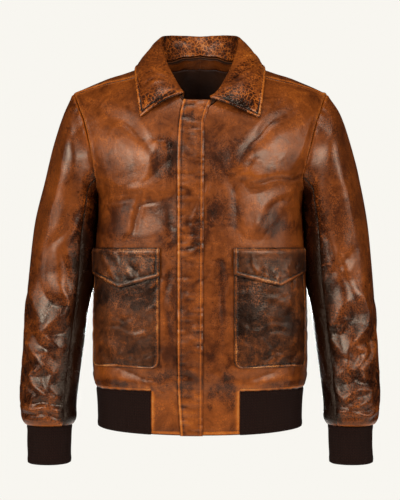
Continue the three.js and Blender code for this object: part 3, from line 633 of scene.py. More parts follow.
class Wall:
    """A closed wall of cloth over a grid of points, as one mesh: an outer face, an inner face and a rounded
    rim. keep says which cells of the grid it has."""

    def __init__(self, base, normal, relief, lift, thickness, keep=None, bulge=0.4):
        grid = base.shape[:2]
        key = np.round(base.reshape(-1, 3) * 400).astype(np.int64)
        _, first, index = np.unique(key, axis=0, return_index=True, return_inverse=True)
        index = index.reshape(grid)
        self.outer_grid = base + normal * (lift + relief)[..., None]
        outer = self.outer_grid.reshape(-1, 3)[first]
        inner = (base + normal * (lift + relief - thickness)[..., None]).reshape(-1, 3)[first]
        flat = np.arange(base[..., 0].size).reshape(grid)
        corners = [index[:-1, :-1], index[:-1, 1:], index[1:, 1:], index[1:, :-1]]
        at = [flat[:-1, :-1], flat[:-1, 1:], flat[1:, 1:], flat[1:, :-1]]
        keep = np.ones(corners[0].shape, bool) if keep is None else keep
        keep = keep & np.all([corners[k] != corners[(k + 1) % 4] for k in range(4)], axis=0)
        cells = np.stack([c[keep] for c in corners], -1)
        cell_at = np.stack([a[keep] for a in at], -1)
        p = outer[cells]
        facing = np.cross(p[:, 2] - p[:, 0], p[:, 3] - p[:, 1])
        if np.sum(facing * (outer - inner)[cells[:, 0]]) < 0:
            cells, cell_at = cells[:, ::-1], cell_at[:, ::-1]
        n = len(outer)
        edges = np.concatenate([cells[:, [k, (k + 1) % 4]] for k in range(4)])
        code, back = edges[:, 0] * n + edges[:, 1], edges[:, 1] * n + edges[:, 0]
        rim = edges[~np.isin(code, back)]
        edge_points = np.unique(rim)
        middle = np.full(n, -1)
        middle[edge_points] = 2 * n + np.arange(len(edge_points))
        centre = np.zeros((n, 4))
        where_cells = np.concatenate([p.mean(1), np.ones((len(cells), 1))], -1)
        for k in range(4):
            np.add.at(centre, cells[:, k], where_cells)
        away = outer - centre[:, :3] / np.maximum(centre[:, 3:], 1)
        through_wall = unit(outer - inner)
        away = unit(away - through_wall * np.sum(away * through_wall, -1, keepdims=True))
        rounded = ((outer + inner) / 2 + away * bulge * thickness)[edge_points]
        a, b = rim.T
        upper = np.stack([b, a, middle[a], middle[b]], -1)
        lower = np.stack([middle[b], middle[a], a + n, b + n], -1)
        self.points = np.concatenate([outer, inner, rounded])
        self.faces = np.concatenate([cells, cells[:, ::-1] + n, upper, lower])
        self.source = np.concatenate([first, first, first[edge_points]])
        self.inside = np.concatenate([np.zeros(n), np.ones(n), np.full(len(edge_points), 0.25)])
        self.corners = np.concatenate([cell_at, cell_at[:, ::-1], self.source[upper], self.source[lower]])

    def mesh(self, name, fields, uv, material, mirror=False):
        """The mesh as an object, in metres, with point attributes from grids and a UV map in metres."""
        points, faces, corners = self.points / 1000, self.faces, self.corners
        if mirror:
            points = points * (-1, 1, 1)
            faces, corners = faces[:, ::-1], corners[:, ::-1]
        mesh = bpy.data.meshes.new(name)
        mesh.from_pydata(points.tolist(), [], faces.tolist())
        mesh.polygons.foreach_set("use_smooth", np.ones(len(faces), bool))
        for label, field in {**fields, "inside": None}.items():
            values = self.inside if field is None else field.reshape(-1)[self.source]
            attribute = mesh.attributes.new(label, "FLOAT", "POINT")
            attribute.data.foreach_set("value", values.astype(np.float32))
        layer = mesh.uv_layers.new(name="cloth")
        places = uv.reshape(-1, 2)[corners.reshape(-1)] / 1000
        layer.data.foreach_set("uv", places.astype(np.float32).reshape(-1))
        mesh.materials.append(material)
        mesh.validate()
        mesh.update()
        return new_object(name, mesh)


def flat_map(base):
    """Cloth coordinates in millimetres: along the rows, and down the columns."""
    return np.stack([from_edge(base, 1, 0), from_edge(base, 0, 0)], -1)


def declare(piece, node):
    """Says what the piece stands for, what it is made of and what it was cut from."""
    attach(piece, "root")
    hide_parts(node)


def inset_line(grid, axis, end, inset, first=0.0, last=1.0):
    """A line on a grid of points, so far in from one of its edges, between two shares of that edge."""
    if axis == 0:
        grid = grid.transpose(1, 0, 2)
    if end == 1:
        grid = grid[:, ::-1]
    distance = from_edge(grid, 1, 0)
    n = len(grid) - 1
    rows = range(round(first * n), round(last * n) + 1)
    return np.array([[np.interp(inset, distance[i], grid[i, :, k]) for k in range(3)] for i in rows])


stitch_lines = {}


def keep_line(group, line, mirror=False):
    """Keeps a line of points, in millimetres, for the topstitching to follow."""
    stitch_lines.setdefault(group, []).append(line * (-1, 1, 1) if mirror else line)


def sewn(distance, along_seam, seed):
    """The dip of a seam and the puffed, slightly puckered leather beside it."""
    pucker = 0.7 * bump(distance - 6, 5) * (2 * noise(along_seam, 0 * along_seam, 8, seed) - 1)
    return -1.3 * bump(distance, 1.7) + 0.8 * bump(distance - 5.5, 3.4) + pucker


def turned_edge(distance):
    """A folded edge: full at the fold, pulled in along its topstitching."""
    full = bump(distance - 0.45 * STITCH_INSET, 0.33 * STITCH_INSET)
    return 0.55 * full - 0.75 * bump(distance - STITCH_INSET, 1.3)


def seam_wear(distance):
    """How rubbed and how soiled the leather is beside a seam or a turned edge."""
    return 0.75 * bump(distance - 3.4, 2.4), 0.9 * bump(distance, 1.2)


# ------------------------------------------------------------------ materials


def linear(hex_colour):
    """The linear colour of an sRGB hex value."""
    channels = [int(hex_colour[i : i + 2], 16) / 255 for i in (1, 3, 5)]
    return [c / 12.92 if c <= 0.04045 else ((c + 0.055) / 1.055) ** 2.4 for c in channels]


def rgba(colour):
    return tuple(colour) + (1.0,)


def add(tree, kind, values=None, links=None, stops=(), **settings):
    """Adds a node with its settings, its inputs' values, the sockets that feed them and a ramp's stops."""
    node = tree.nodes.new(kind)
    for name, value in settings.items():
        setattr(node, name, value)
    for name, value in (values or {}).items():
        node.inputs[name].default_value = value
    for name, source in (links or {}).items():
        tree.links.new(source, node.inputs[name])
    if stops:
        band = node.color_ramp.elements
        while len(band) < len(stops):
            band.new(1.0)
        for element, (at, colour) in zip(band, stops):
            element.position, element.color = at, colour
    return node


def per_mm(size):
    """Texture scale for a pattern of that size in millimetres, on coordinates in metres."""
    return 1000 / size


def new_material(name, inputs):
    """A material with those values on its shader."""
    material = bpy.data.materials.new(name)
    material.use_nodes = True
    shader = material.node_tree.nodes["Principled BSDF"]
    for label, value in inputs.items():
        shader.inputs[label].default_value = value
    return material, material.node_tree, shader


def feed(tree, shader, **sources):
    """Links sockets to the shader's inputs; an underscore stands for a space."""
    for label, source in sources.items():
        tree.links.new(source, shader.inputs[label.replace("_", " ")])


MATH, MIX, BUMP, RANGE, RAMP, NOISE = (
    "ShaderNode" + kind for kind in ("Math", "Mix", "Bump", "MapRange", "ValToRGB", "TexNoise")
)
FALLING = {"From Min": 0.0, "To Min": 1.0, "To Max": 0.0}  # 1 at a line, to 0 at From Max away from it


def pull_up_cowhide(name, tones, lining, crackle, cell_mm, line_mm, mottling, tone, roughness, rumple):
    """Waxed, drum-dyed cowhide with a hand-rubbed finish. The eye sees a warm brown that is paler where the
    wax has been rubbed or stretched thin, near black in the creases, a fine crackle, and a broad, soft gloss.
    The wax is brown, and so it warms what it reflects."""
    material, tree, shader = new_material(name, {"IOR": 1.5, "Specular Tint": (1.0, 0.79, 0.6, 1.0)})
    scaled = "MULTIPLY_ADD"
    place = add(tree, "ShaderNodeTexCoord").outputs["Object"]
    worn, soiled, inside = (
        add(tree, "ShaderNodeAttribute", attribute_name=label).outputs["Fac"]
        for label in ("worn", "soiled", "inside")
    )
    # Clouds of dye, their mottling, the finest mottling and the short creases: size in mm, detail,
    # roughness and distortion.
    noises = ((70, 3, 0.5, 0), (26, 5, 0.63, 0.8), (6, 4, 0.7, 0), (13, 3, 0.6, 1.2))
    broad, mottle, fine, crease = (
        add(
            tree, NOISE, {"Scale": per_mm(size), "Detail": detail, "Roughness": rough, "Distortion": bend},
            {"Vector": place},
        ).outputs
        for size, detail, rough, bend in noises
    )
    mottle = mottle["Fac"]

    # Crackle of the finish, drawn a little coarser than the real 2 to 3 mm so that it shows.
    bent = add(
        tree, "ShaderNodeVectorMath", {1: (0.004,) * 3}, {0: fine["Color"], 2: place}, operation=scaled
    ).outputs[0]
    cell = add(
        tree, "ShaderNodeTexVoronoi", {"Scale": per_mm(cell_mm)}, {"Vector": bent}, feature="DISTANCE_TO_EDGE"
    ).outputs["Distance"]
    line = add(tree, RANGE, {**FALLING, "From Max": line_mm / cell_mm}, {"Value": cell}).outputs["Result"]
    # Where the finish has crackled: patches, and wherever the leather is darkened for soil or as painted
    # shade.
    patch = add(
        tree, RANGE, {"From Min": 0.44, "From Max": 0.62, "To Min": 0.08, "To Max": 0.6}, {"Value": mottle}
    ).outputs["Result"]
    patch = add(tree, MATH, {}, {0: soiled, 1: soiled, 2: patch}, operation=scaled).outputs[0]
    cracks = add(tree, MATH, {}, {0: line, 1: patch}, operation="MULTIPLY").outputs[0]
    # In the driest parts of a dark patch the cracks show the paler hide under the finish.
    dry = add(tree, RANGE, {"From Min": 0.4, "From Max": 0.6, "To Min": 0.55}, {"Value": mottle}).outputs[0]
    dry = add(tree, MATH, {}, {0: dry, 1: soiled}, operation="MULTIPLY", use_clamp=True).outputs[0]
    pale_cracks = add(tree, MATH, {}, {0: line, 1: dry}, operation="MULTIPLY").outputs[0]
    # Short creases, which hold the dark wax in a hairline.
    crease = add(tree, MATH, {1: 0.5}, {0: crease["Fac"]}, operation="SUBTRACT").outputs[0]
    crease = add(tree, MATH, {}, {0: crease}, operation="ABSOLUTE").outputs[0]
    hair = add(tree, RANGE, {**FALLING, "From Max": 0.035}, {"Value": crease}).outputs["Result"]
    hair = add(tree, MATH, {}, {0: hair, 1: patch}, operation="MULTIPLY").outputs[0]

    # What makes the leather paler (above 0) or darker: source, amount, and its mean, which is taken off.
    # The darkening attribute carries soil and also painted shade: in dips, under the pocket flaps, along the
    # storm flap's free edge, at the body's sides below the armholes and where each sleeve faces the body.
    steps = (
        (broad["Fac"], 0.8 * mottling, 0.4 * mottling), (mottle, mottling, 0.5 * mottling),
        (fine["Fac"], 0.3 * crackle * mottling, 0.15 * crackle * mottling), (worn, 0.4, 0),
        (soiled, -0.36, 0), (cracks, -0.3 * crackle, 0), (pale_cracks, 0.75 * crackle, 0), (hair, -0.2, 0),
    )
    values, total = {2: tone - sum(mean for _, _, mean in steps)}, {}
    for source, amount, _ in steps:
        paler = add(tree, MATH, {1: amount, **values}, {0: source, **total}, operation=scaled)
        values, total = {}, {2: paler.outputs[0]}
    stops = list(zip((0.0, 0.26, 0.5, 0.72, 1.0), tones))
    colour = add(tree, RAMP, links={"Fac": total[2]}, stops=stops).outputs["Color"]
    inner = add(tree, RANGE, {"From Min": 0.5, "From Max": 0.9}, {"Value": inside}).outputs["Result"]
    colour = add(tree, MIX, {7: lining}, {0: inner, 6: colour}, data_type="RGBA").outputs[2]
    rough = add(tree, MATH, {1: 0.24, 2: roughness - 0.12}, {0: mottle}, operation=scaled).outputs[0]
    rough = add(tree, MATH, {1: -0.04}, {0: soiled, 2: rough}, operation=scaled).outputs[0]
    rough = add(tree, MATH, {1: 0.5}, {0: inner, 2: rough}, operation=scaled, use_clamp=True).outputs[0]

    # Relief too fine for the mesh: the short creases, the crackle, and the grain of the hide.
    first = add(tree, BUMP, {"Strength": 1.0, "Distance": rumple / 1000}, {"Height": crease}).outputs[0]
    grain = add(tree, "ShaderNodeTexVoronoi", {"Scale": per_mm(2.2)}, {"Vector": bent}).outputs["Distance"]
    height = add(tree, MATH, {1: -0.9}, {0: cracks, 2: grain}, operation=scaled).outputs[0]
    second = add(tree, BUMP, {"Strength": 1.0, "Distance": 0.00009}, {"Height": height, "Normal": first})
    feed(tree, shader, Base_Color=colour, Roughness=rough, Normal=second.outputs[0])
    return material


def rib_knit(name, colour, light):
    """Double rib knit of worsted yarn, matt and very dark: each rib catches a little light along its crown,
    and columns of small V-shaped loops run down it."""
    material, tree, shader = new_material(
        name, {"Roughness": 0.95, "Specular IOR Level": 0.15, "Sheen Weight": 0.04, "Sheen Roughness": 0.5}
    )
    cloth = add(tree, "ShaderNodeUVMap", uv_map="cloth").outputs["UV"]
    parts = add(tree, "ShaderNodeSeparateXYZ", links={0: cloth}).outputs
    # Loops of 2.4 mm, slanting up to the crown of each 3.4 mm rib.
    across = add(tree, MATH, {1: per_mm(3.4)}, {0: parts["X"]}, operation="MULTIPLY").outputs[0]
    across = add(tree, MATH, {1: 1.0}, {0: across}, operation="PINGPONG").outputs[0]
    down = add(tree, MATH, {1: per_mm(2.4)}, {0: parts["Y"], 2: across}, operation="MULTIPLY_ADD").outputs[0]
    loop = add(tree, MATH, {1: 1.0}, {0: down}, operation="PINGPONG").outputs[0]
    place = add(tree, "ShaderNodeTexCoord").outputs["Object"]
    fuzz = add(tree, NOISE, {"Scale": per_mm(1.5), "Detail": 3.0}, {"Vector": place}).outputs["Fac"]
    height = add(tree, MATH, {1: 0.5}, {0: fuzz, 2: loop}, operation="MULTIPLY_ADD").outputs[0]
    normal = add(tree, BUMP, {"Strength": 0.5, "Distance": 0.0003}, {"Height": height}).outputs["Normal"]
    # Painted shade and highlight: the colour goes from the dark rib colour to the crown colour with the
    # loops' height.
    shade = add(tree, MATH, {1: 0.55}, {0: height}, operation="MULTIPLY").outputs[0]
    shade = add(tree, RAMP, links={"Fac": shade}, stops=((0.1, colour), (0.9, light))).outputs["Color"]
    feed(tree, shader, Base_Color=shade, Normal=normal)
    return material


def satin_lining(name, colour, light):
    """Woven viscose satin: smooth and slightly lustrous, with slow folds and a very fine cross thread."""
    material, tree, shader = new_material(name, {"Roughness": 0.5})
    place = add(tree, "ShaderNodeTexCoord").outputs["Object"]
    slow = add(tree, NOISE, {"Scale": per_mm(40), "Detail": 3.0}, {"Vector": place}).outputs["Fac"]
    shade = add(tree, RAMP, links={"Fac": slow}, stops=((0.3, colour), (0.75, light))).outputs["Color"]
    cloth = add(tree, "ShaderNodeUVMap", uv_map="cloth").outputs["UV"]
    # Threads at 0.8 mm, about three times coarser than satin's, so that they show at all.
    thread = add(
        tree, "ShaderNodeTexWave", {"Scale": per_mm(0.8) / 20, "Distortion": 0.6}, {"Vector": cloth},
        bands_direction="DIAGONAL",
    ).outputs["Fac"]
    normal = add(tree, BUMP, {"Strength": 0.4, "Distance": 0.0002}, {"Height": thread}).outputs["Normal"]
    feed(tree, shader, Base_Color=shade, Normal=normal)
    return material


def waxed_thread(name, colour):
    """Waxed polyester thread: dark, slightly glossy, each stitch a short rounded bar with a faint twist."""
    material, tree, shader = new_material(name, {"Roughness": 0.55})
    place = add(tree, "ShaderNodeTexCoord").outputs["Object"]
    twist = add(tree, NOISE, {"Scale": per_mm(1.2)}, {"Vector": place}).outputs["Fac"]
    stops = ((0.3, rgba(0.55 * c for c in colour[:3])), (0.7, colour))
    feed(tree, shader, Base_Color=add(tree, RAMP, links={"Fac": twist}, stops=stops).outputs["Color"])
    return material


def brass_zip(name, brass, tape):
    """Drawn brass teeth on a cotton tape: dull gold bars 1.6 mm apart, with brown twill on each side."""
    material, tree, shader = new_material(name, {"Roughness": 0.42})
    place = add(tree, "ShaderNodeTexCoord").outputs["Object"]
    parts = add(tree, "ShaderNodeSeparateXYZ", links={0: place}).outputs
    bars = add(tree, MATH, {1: per_mm(1.6)}, {0: parts["Z"]}, operation="MULTIPLY").outputs[0]
    bars = add(tree, MATH, {1: 1.0}, {0: bars}, operation="PINGPONG").outputs[0]
    # The chain is 7 mm wide and runs down the middle of the tape.
    offset = add(tree, MATH, {1: 0.014}, {0: parts["X"]}, operation="ADD").outputs[0]
    offset = add(tree, MATH, {}, {0: offset}, operation="ABSOLUTE").outputs[0]
    chain = add(tree, MATH, {1: 0.0035}, {0: offset}, operation="LESS_THAN").outputs[0]
    # Painted shade: each tooth darkens towards the gaps between the teeth.
    stops = ((0.2, rgba(0.3 * c for c in brass[:3])), (0.6, brass))
    teeth = add(tree, RAMP, links={"Fac": bars}, stops=stops).outputs["Color"]
    colour = add(tree, MIX, {6: tape}, {0: chain, 7: teeth}, data_type="RGBA").outputs[2]
    normal = add(tree, BUMP, {"Distance": 0.0004}, {"Height": bars}).outputs["Normal"]
    feed(tree, shader, Base_Color=colour, Metallic=chain, Normal=normal)
    return material


materials = {}


def make_materials():
    dye = bpy.context.scene.jacket_colours
    lining = rgba(dye.lining)
    even, patched = (
        [rgba(getattr(dye, label)) for label in ("crease", *middle, "rubbed")]
        for middle in (("deep", "body", "bright"), ("patch_deep", "patch", "body"))
    )
    # Crackle, its cells and lines in mm, mottling, tone, roughness, and depth of the short creases in mm.
    for label, name, tones, finish in (
        ("leather", "pull_up_cowhide", even, (0.9, 4.5, 0.6, 0.72, 0.45, 0.34, 0.35)),
        ("sleeve", "pull_up_cowhide_sleeve", even, (1.6, 4.0, 0.65, 0.6, 0.43, 0.32, 0.2)),
        ("collar", "crackled_cowhide_collar", even, (2.1, 6.5, 1.0, 0.8, 0.51, 0.33, 0.45)),
        ("pocket", "crackled_cowhide_pocket", patched, (1.9, 4.0, 0.6, 1.0, 0.46, 0.34, 0.4)),
        ("facing", "cowhide_neck_facing", even, (0.6, 5.0, 0.6, 0.6, 0.38, 0.42, 0.8)),
    ):
        materials[label] = pull_up_cowhide(name, tones, lining, *finish)
    materials["rib"] = rib_knit("worsted_rib_knit", rgba(dye.rib), rgba(dye.rib_light))
    materials["lining"] = satin_lining("viscose_satin_lining", lining, rgba(dye.lining_light))
    materials["thread"] = waxed_thread("waxed_polyester_thread", rgba(dye.thread))
    materials["zip"] = brass_zip("drawn_brass_zip", rgba(dye.brass), lining)


# ------------------------------------------------------------------ the pieces


def mm(size):
    """One of the sizes a user may change, in millimetres."""
    return 1000 * getattr(bpy.context.scene.jacket_sizes, size)


def front_rows(side):
    """phi and turn over one front, for x above 0, and the column and row where the rib takes its corner."""
    edge, rib_end = EDGE_X[side], RIB_END_X[side] - SEAM
    corner = 0.3  # share of the columns that go on down beside the rib

    def lower(z, f):
        near = phi_at(lerp(edge, rib_end, np.minimum(f, corner) / corner), z)
        far = lerp(phi_at(rib_end, z), SIDE_PHI, np.maximum(f - corner, 0) / (1 - corner))
        pieced = np.where(f <= corner, near, far)
        return lerp(pieced, lerp(phi_at(edge, z), SIDE_PHI, f), smooth(RIB_TOP_Z, UNDERARM_Z, z))

    gap = mm("cell")
    parts = []
    for start, end in ((0, corner), (corner, 1)):
        f = np.linspace(start, end, 500)
        phi = lower(np.full_like(f, FULL_Z), f)
        parts.append(lerp(start, end, evenly(running(body_point(phi, FRONT.turn_at(phi, FULL_Z))), gap)))
    f = np.concatenate([parts[0], parts[1][1:]])
    rib_column = len(parts[0]) - 1

    g = even_rows(RIB_TOP_Z - HEM_Z, gap)[:, None]
    x = lerp(edge, rib_end, np.minimum(f, corner) / corner)[None]
    z = lerp(hem_at(x), RIB_TOP_Z, g)
    hem_phi = lower(z, f[None] + 0 * z)
    z2 = lerp(RIB_TOP_Z, UNDERARM_Z, even_rows(UNDERARM_Z - RIB_TOP_Z, gap))[1:, None] + 0 * f[None]
    low_phi = lower(z2, f[None] + 0 * z2)
    start_angle = np.degrees(np.arcsin(edge / NECK_HALF_WIDTH))
    neck_z = body_point(*neckline(start_angle))[2]
    k = HALF_ROWS * even_rows(FRONT_RISE, gap)[1:]
    edge_part = on_front(np.full_like(k, edge), lerp(UNDERARM_Z, neck_z, np.minimum(k / MIDDLE_ROWS, 1)))
    neck_part = neckline(lerp(start_angle, SEAM_NECK_ANGLE - SEAM_STEP, np.maximum(k / MIDDLE_ROWS - 1, 0)))
    inner = [np.where(k < MIDDLE_ROWS, a, b) for a, b in zip(edge_part, neck_part)]
    outer = armhole(lerp(180, SEAM_ARMHOLE_ANGLE + SEAM_STEP, k / HALF_ROWS))
    phi, turn = body_rows(FRONT, inner, outer, f, (1 - k / HALF_ROWS) ** 2)
    all_phi = np.concatenate([hem_phi, low_phi, phi])
    all_turn = np.concatenate([FRONT.turn_at(hem_phi, z), FRONT.turn_at(low_phi, z2), turn])
    return all_phi, all_turn, rib_column, len(g) - 1


FAR = 99.0  # further than any seam is felt
# Place, half width and height, and strength of the dark patches; the two at the sides below the armholes (x
# about 178) are painted shade.
FRONT_SPOTS = (
    (134, -292, 44, 22, 0.6), (-128, -320, 40, 12, 0.5), (-54, -296, 20, 50, 0.4), (46, -268, 44, 36, 0.35),
    (-178, -260, 16, 60, 0.5), (178, -250, 16, 60, 0.5), (-150, -566, 44, 12, 0.55), (140, -568, 50, 12, 0.5),
    (-62, -186, 30, 50, 0.4), (50, -180, 50, 36, 0.5), (-46, -400, 10, 130, 0.4), (30, -430, 16, 100, 0.4),
    (-60, -560, 30, 26, 0.5), (44, -580, 26, 30, 0.5), (-150, -290, 34, 30, 0.3), (96, -110, 40, 14, 0.3),
)


def make_front(side):
    flip = -1 if side == "right" else 1
    phi, turn, rib_column, rib_row = front_rows(side)
    base, normal = on_body(phi, turn)
    real = base * (flip, 1, 1)
    relief = body_relief(flip * phi, turn, real)
    side_d, top_d = from_edge(base, 1, 1), from_edge(base, 0, 1)
    down = from_edge(base, 0, 0)
    x, z = base[..., 0], base[..., 2]
    relief = relief + sewn(side_d, down, 3) + sewn(top_d, x, 4)
    rib_d = np.where(x > RIB_END_X[side] - 1, z - RIB_TOP_Z, FAR)
    relief += np.where(rib_d >= -1, sewn(np.abs(rib_d), x, 5), 0)
    tab = z < RIB_TOP_Z + 2
    tab_side = np.where(tab, RIB_END_X[side] - SEAM - x, FAR)
    hem_d = z - hem_at(x)
    relief += np.where(tab, sewn(np.abs(tab_side), z, 6), 0) + turned_edge(hem_d)
    keep = np.ones((base.shape[0] - 1, base.shape[1] - 1), bool)
    keep[:rib_row, rib_column:] = False
    wall = Wall(base, normal, relief, 0, LEATHER, keep)
    rubbed, dirt = seam_wear(np.minimum.reduce([side_d, top_d, np.abs(rib_d), np.abs(tab_side), hem_d]))
    crest, dip = crests(relief)
    dark_spots = spots(real[..., 0], z, *FRONT_SPOTS)
    # Painted shade in the dips of the relief and in the two side patches; seam dirt, stains and smears
    # besides.
    fields = {
        "worn": rubbed + 0.5 * crest,
        "soiled": dirt + 0.45 * dip + dark_spots + 0.65 * streaks(real[..., 0], z, 541),
    }
    name = "front_" + side
    piece = wall.mesh(name + "_leather", fields, flat_map(base), materials["leather"], flip < 0)
    declare(piece, name)
    grid = wall.outer_grid
    rows = len(base) - 1
    underarm = rib_row + int(np.argmax(z[rib_row:, -1] > UNDERARM_Z - 1))
    above_rib = rib_row + int(np.argmax(z[rib_row:, -1] > RIB_TOP_Z + RIB_STITCH))
    above_hem = int(np.argmax(hem_d[:, 0] > STITCH_INSET))
    for line in (
        inset_line(grid, 1, 1, SEAM_STITCH, underarm / rows, 0.985),
        inset_line(grid, 0, 1, SHOULDER_STITCH, 0.03, 0.97),
        grid[above_rib, rib_column:-2],
        grid[above_hem, : rib_column - 1],
    ):
        keep_line("seams", line, flip < 0)


def back_rows():
    """phi and turn over the left half of the back, and on over the shoulder to its seam."""
    gap = 1.1 * mm("cell")
    phi = SIDE_PHI * np.linspace(0, 1, 600)
    f = evenly(running(body_point(phi, BACK.turn_at(phi, FULL_Z))), gap)
    f = np.concatenate([[0], f[len(EDGE_ROWS) - 1 :]])  # the middle has no seam
    z = lerp(RIB_TOP_Z, UNDERARM_Z, even_rows(UNDERARM_Z - RIB_TOP_Z, gap))[:, None] + 0 * f[None]
    low_phi = f[None] * SIDE_PHI + 0 * z
    neck_z = body_point(*neckline(180))[2]
    k = HALF_ROWS * np.linspace(0, 1, int(BACK_RISE / gap))[1:]
    zero = np.zeros_like(k)
    middle = BACK.turn_at(zero, lerp(neck_z, UNDERARM_Z, np.maximum(1 - k / MIDDLE_ROWS, 0) ** 1.5))
    neck = neckline(lerp(180, NECK_RIDGE_ANGLE, np.maximum(k / MIDDLE_ROWS - 1, 0)))
    inner = [np.where(k < MIDDLE_ROWS, a, b) for a, b in zip((zero, middle), neck)]
    outer_phi, outer_turn = armhole(np.minimum(lerp(180, 360, k / HALF_ROWS), 359.999))
    outer_turn[-1], inner[1][-1] = 0, 0
    phi, turn = body_rows(BACK, inner, (outer_phi, outer_turn), f, (1 - k / HALF_ROWS) ** 2)
    turn[-1] = 0
    over = even_rows(SHOULDER_RUN, gap)[len(EDGE_ROWS) :]
    step = np.where(over == 1, SEAM_STEP, 0)
    inner = neckline(lerp(NECK_RIDGE_ANGLE, SEAM_NECK_ANGLE, over) + step)
    outer = armhole(SEAM_ARMHOLE_ANGLE * over - step)
    over_phi, over_turn = body_rows(FRONT, inner, outer, f, 0 * over)
    low_turn = BACK.turn_at(low_phi, z)
    return np.concatenate([low_phi, phi, over_phi]), np.concatenate([low_turn, turn, over_turn])


# Place, half width and height, and strength of the dark patches of the back; the two at the sides below the
# armholes (x about 176) are painted shade.
BACK_SPOTS = (
    (0, -120, 120, 26, 0.35), (-150, -560, 60, 16, 0.4), (120, -562, 60, 16, 0.4), (-120, -330, 36, 60, 0.3),
    (96, -420, 44, 50, 0.3), (0, -520, 60, 30, 0.25), (176, -300, 16, 90, 0.4), (-176, -280, 16, 90, 0.4),
)


def make_back():
    phi, turn = back_rows()
    half = phi.shape[1]
    phi = np.concatenate([-phi[:, ::-1], phi], 1)
    turn = np.concatenate([turn[:, ::-1], turn], 1)
    base, normal = on_body(phi, turn)
    relief = body_relief(phi, turn, base)
    down, top_d = from_edge(base, 0, 0), from_edge(base, 0, 1)
    edge_d = np.concatenate([from_edge(base[:, :half], 1, 0), from_edge(base[:, half:], 1, 1)], 1)
    x, z = base[..., 0], base[..., 2]
    relief = relief + sewn(edge_d, down, 7) + sewn(down, x, 8) + sewn(top_d, x, 9)
    keep = np.ones((base.shape[0] - 1, base.shape[1] - 1), bool)
    keep[:, half - 1] = False
    wall = Wall(base, normal, relief, 0, LEATHER, keep)
    rubbed, dirt = seam_wear(np.minimum.reduce([edge_d, down, top_d]))
    crest, dip = crests(relief)
    # Painted shade in the dips of the relief and in the two side patches; seam dirt and stains besides.
    fields = {"worn": rubbed + 0.5 * crest, "soiled": dirt + 0.45 * dip + spots(x, z, *BACK_SPOTS)}
    piece = wall.mesh("back_leather", fields, flat_map(base), materials["leather"])
    declare(piece, "back")
    grid = wall.outer_grid
    rows = len(base) - 1
    underarm = int(np.argmax(z[:, -1] > UNDERARM_Z - 1)) / rows
    for end in (0, 1):
        keep_line("seams", inset_line(grid, 1, end, SEAM_STITCH, underarm, 0.97))
    keep_line("seams", inset_line(grid, 0, 0, RIB_STITCH, 0.01, 0.99))
    for first, last in ((0.02, 0.485), (0.515, 0.98)):
        keep_line("seams", inset_line(grid, 0, 1, SHOULDER_STITCH, first, last))


def pattern_tree(name, sizes):
    """A geometry tree with inputs for the geometry, the sizes and the finish, and the sockets they give."""
    tree = bpy.data.node_groups.new(name, "GeometryNodeTree")
    for way in ("INPUT", "OUTPUT"):
        tree.interface.new_socket("Geometry", in_out=way, socket_type="NodeSocketGeometry")
    for label, default in sizes.items():
        size = tree.interface.new_socket(label, in_out="INPUT", socket_type="NodeSocketFloat")
        size.default_value = default
    tree.interface.new_socket("Finish", in_out="INPUT", socket_type="NodeSocketMaterial")
    return tree, add(tree, "NodeGroupInput").outputs


def end_tree(tree, given, geometry):
    """Makes instances real, gives them the finish and ends the tree."""
    real = add(tree, "GeometryNodeRealizeInstances", {}, {0: geometry}).outputs[0]
    done = add(tree, "GeometryNodeSetMaterial", {}, {0: real, "Material": given["Finish"]}).outputs[0]
    add(tree, "NodeGroupOutput", {}, {0: done})
    return tree


def run_nodes(source, tree, values):
    """Puts the mesh that a geometry tree makes of an object in its place. values are the tree's inputs."""
    modifier = source.modifiers.new("pattern", "NODES")
    modifier.node_group = tree
    for item in tree.interface.items_tree:
        if item.in_out == "INPUT" and item.name in values:
            modifier[item.identifier] = values[item.name]
    bpy.context.view_layer.update()
    evaluated = source.evaluated_get(bpy.context.evaluated_depsgraph_get())
    mesh = bpy.data.meshes.new_from_object(evaluated)
    source.modifiers.clear()
    source.data = mesh


def rib_tree():
    """Raises ribs along the outer face. Attribute `round` says how far round the cloth a point is."""
    tree, given = pattern_tree("ribs_of_knit", {"Rib Pitch": 0.0034, "Rib Height": 0.001})
    place, inside = (
        add(tree, "GeometryNodeInputNamedAttribute", {"Name": label}, data_type="FLOAT").outputs["Attribute"]
        for label in ("round", "inside")
    )
    phase = add(tree, MATH, {}, {0: place, 1: given["Rib Pitch"]}, operation="DIVIDE").outputs[0]
    phase = add(tree, MATH, {1: 2 * np.pi}, {0: phase}, operation="MULTIPLY").outputs[0]
    wave = add(tree, MATH, {}, {0: phase}, operation="COSINE").outputs[0]
    outer = add(tree, MATH, {1: 0.1}, {0: inside}, operation="LESS_THAN").outputs[0]
    for factor in (outer, given["Rib Height"]):
        wave = add(tree, MATH, {}, {0: wave, 1: factor}, operation="MULTIPLY").outputs[0]
    out = add(tree, "GeometryNodeInputNormal").outputs[0]
    move = add(tree, "ShaderNodeVectorMath", {}, {0: out, "Scale": wave}, operation="SCALE").outputs[0]
    moved = add(tree, "GeometryNodeSetPosition", {}, {"Geometry": given["Geometry"], "Offset": move})
    return end_tree(tree, given, moved.outputs[0])


def finish_rib(wall, name, round_mm, down, mirror=False):
    """The knit as an object with its ribs raised, by half their height to each side of the middle."""
    tree = bpy.data.node_groups.get("ribs_of_knit") or rib_tree()
    fields, uv = {"round": round_mm / 1000}, np.stack([round_mm, down], -1)
    piece = wall.mesh(name + "_knit", fields, uv, materials["rib"], mirror)
    sizes = bpy.context.scene.jacket_sizes
    values = {"Rib Pitch": sizes.rib_pitch, "Rib Height": sizes.rib_height / 2, "Finish": materials["rib"]}
    run_nodes(piece, tree, values)
    return piece


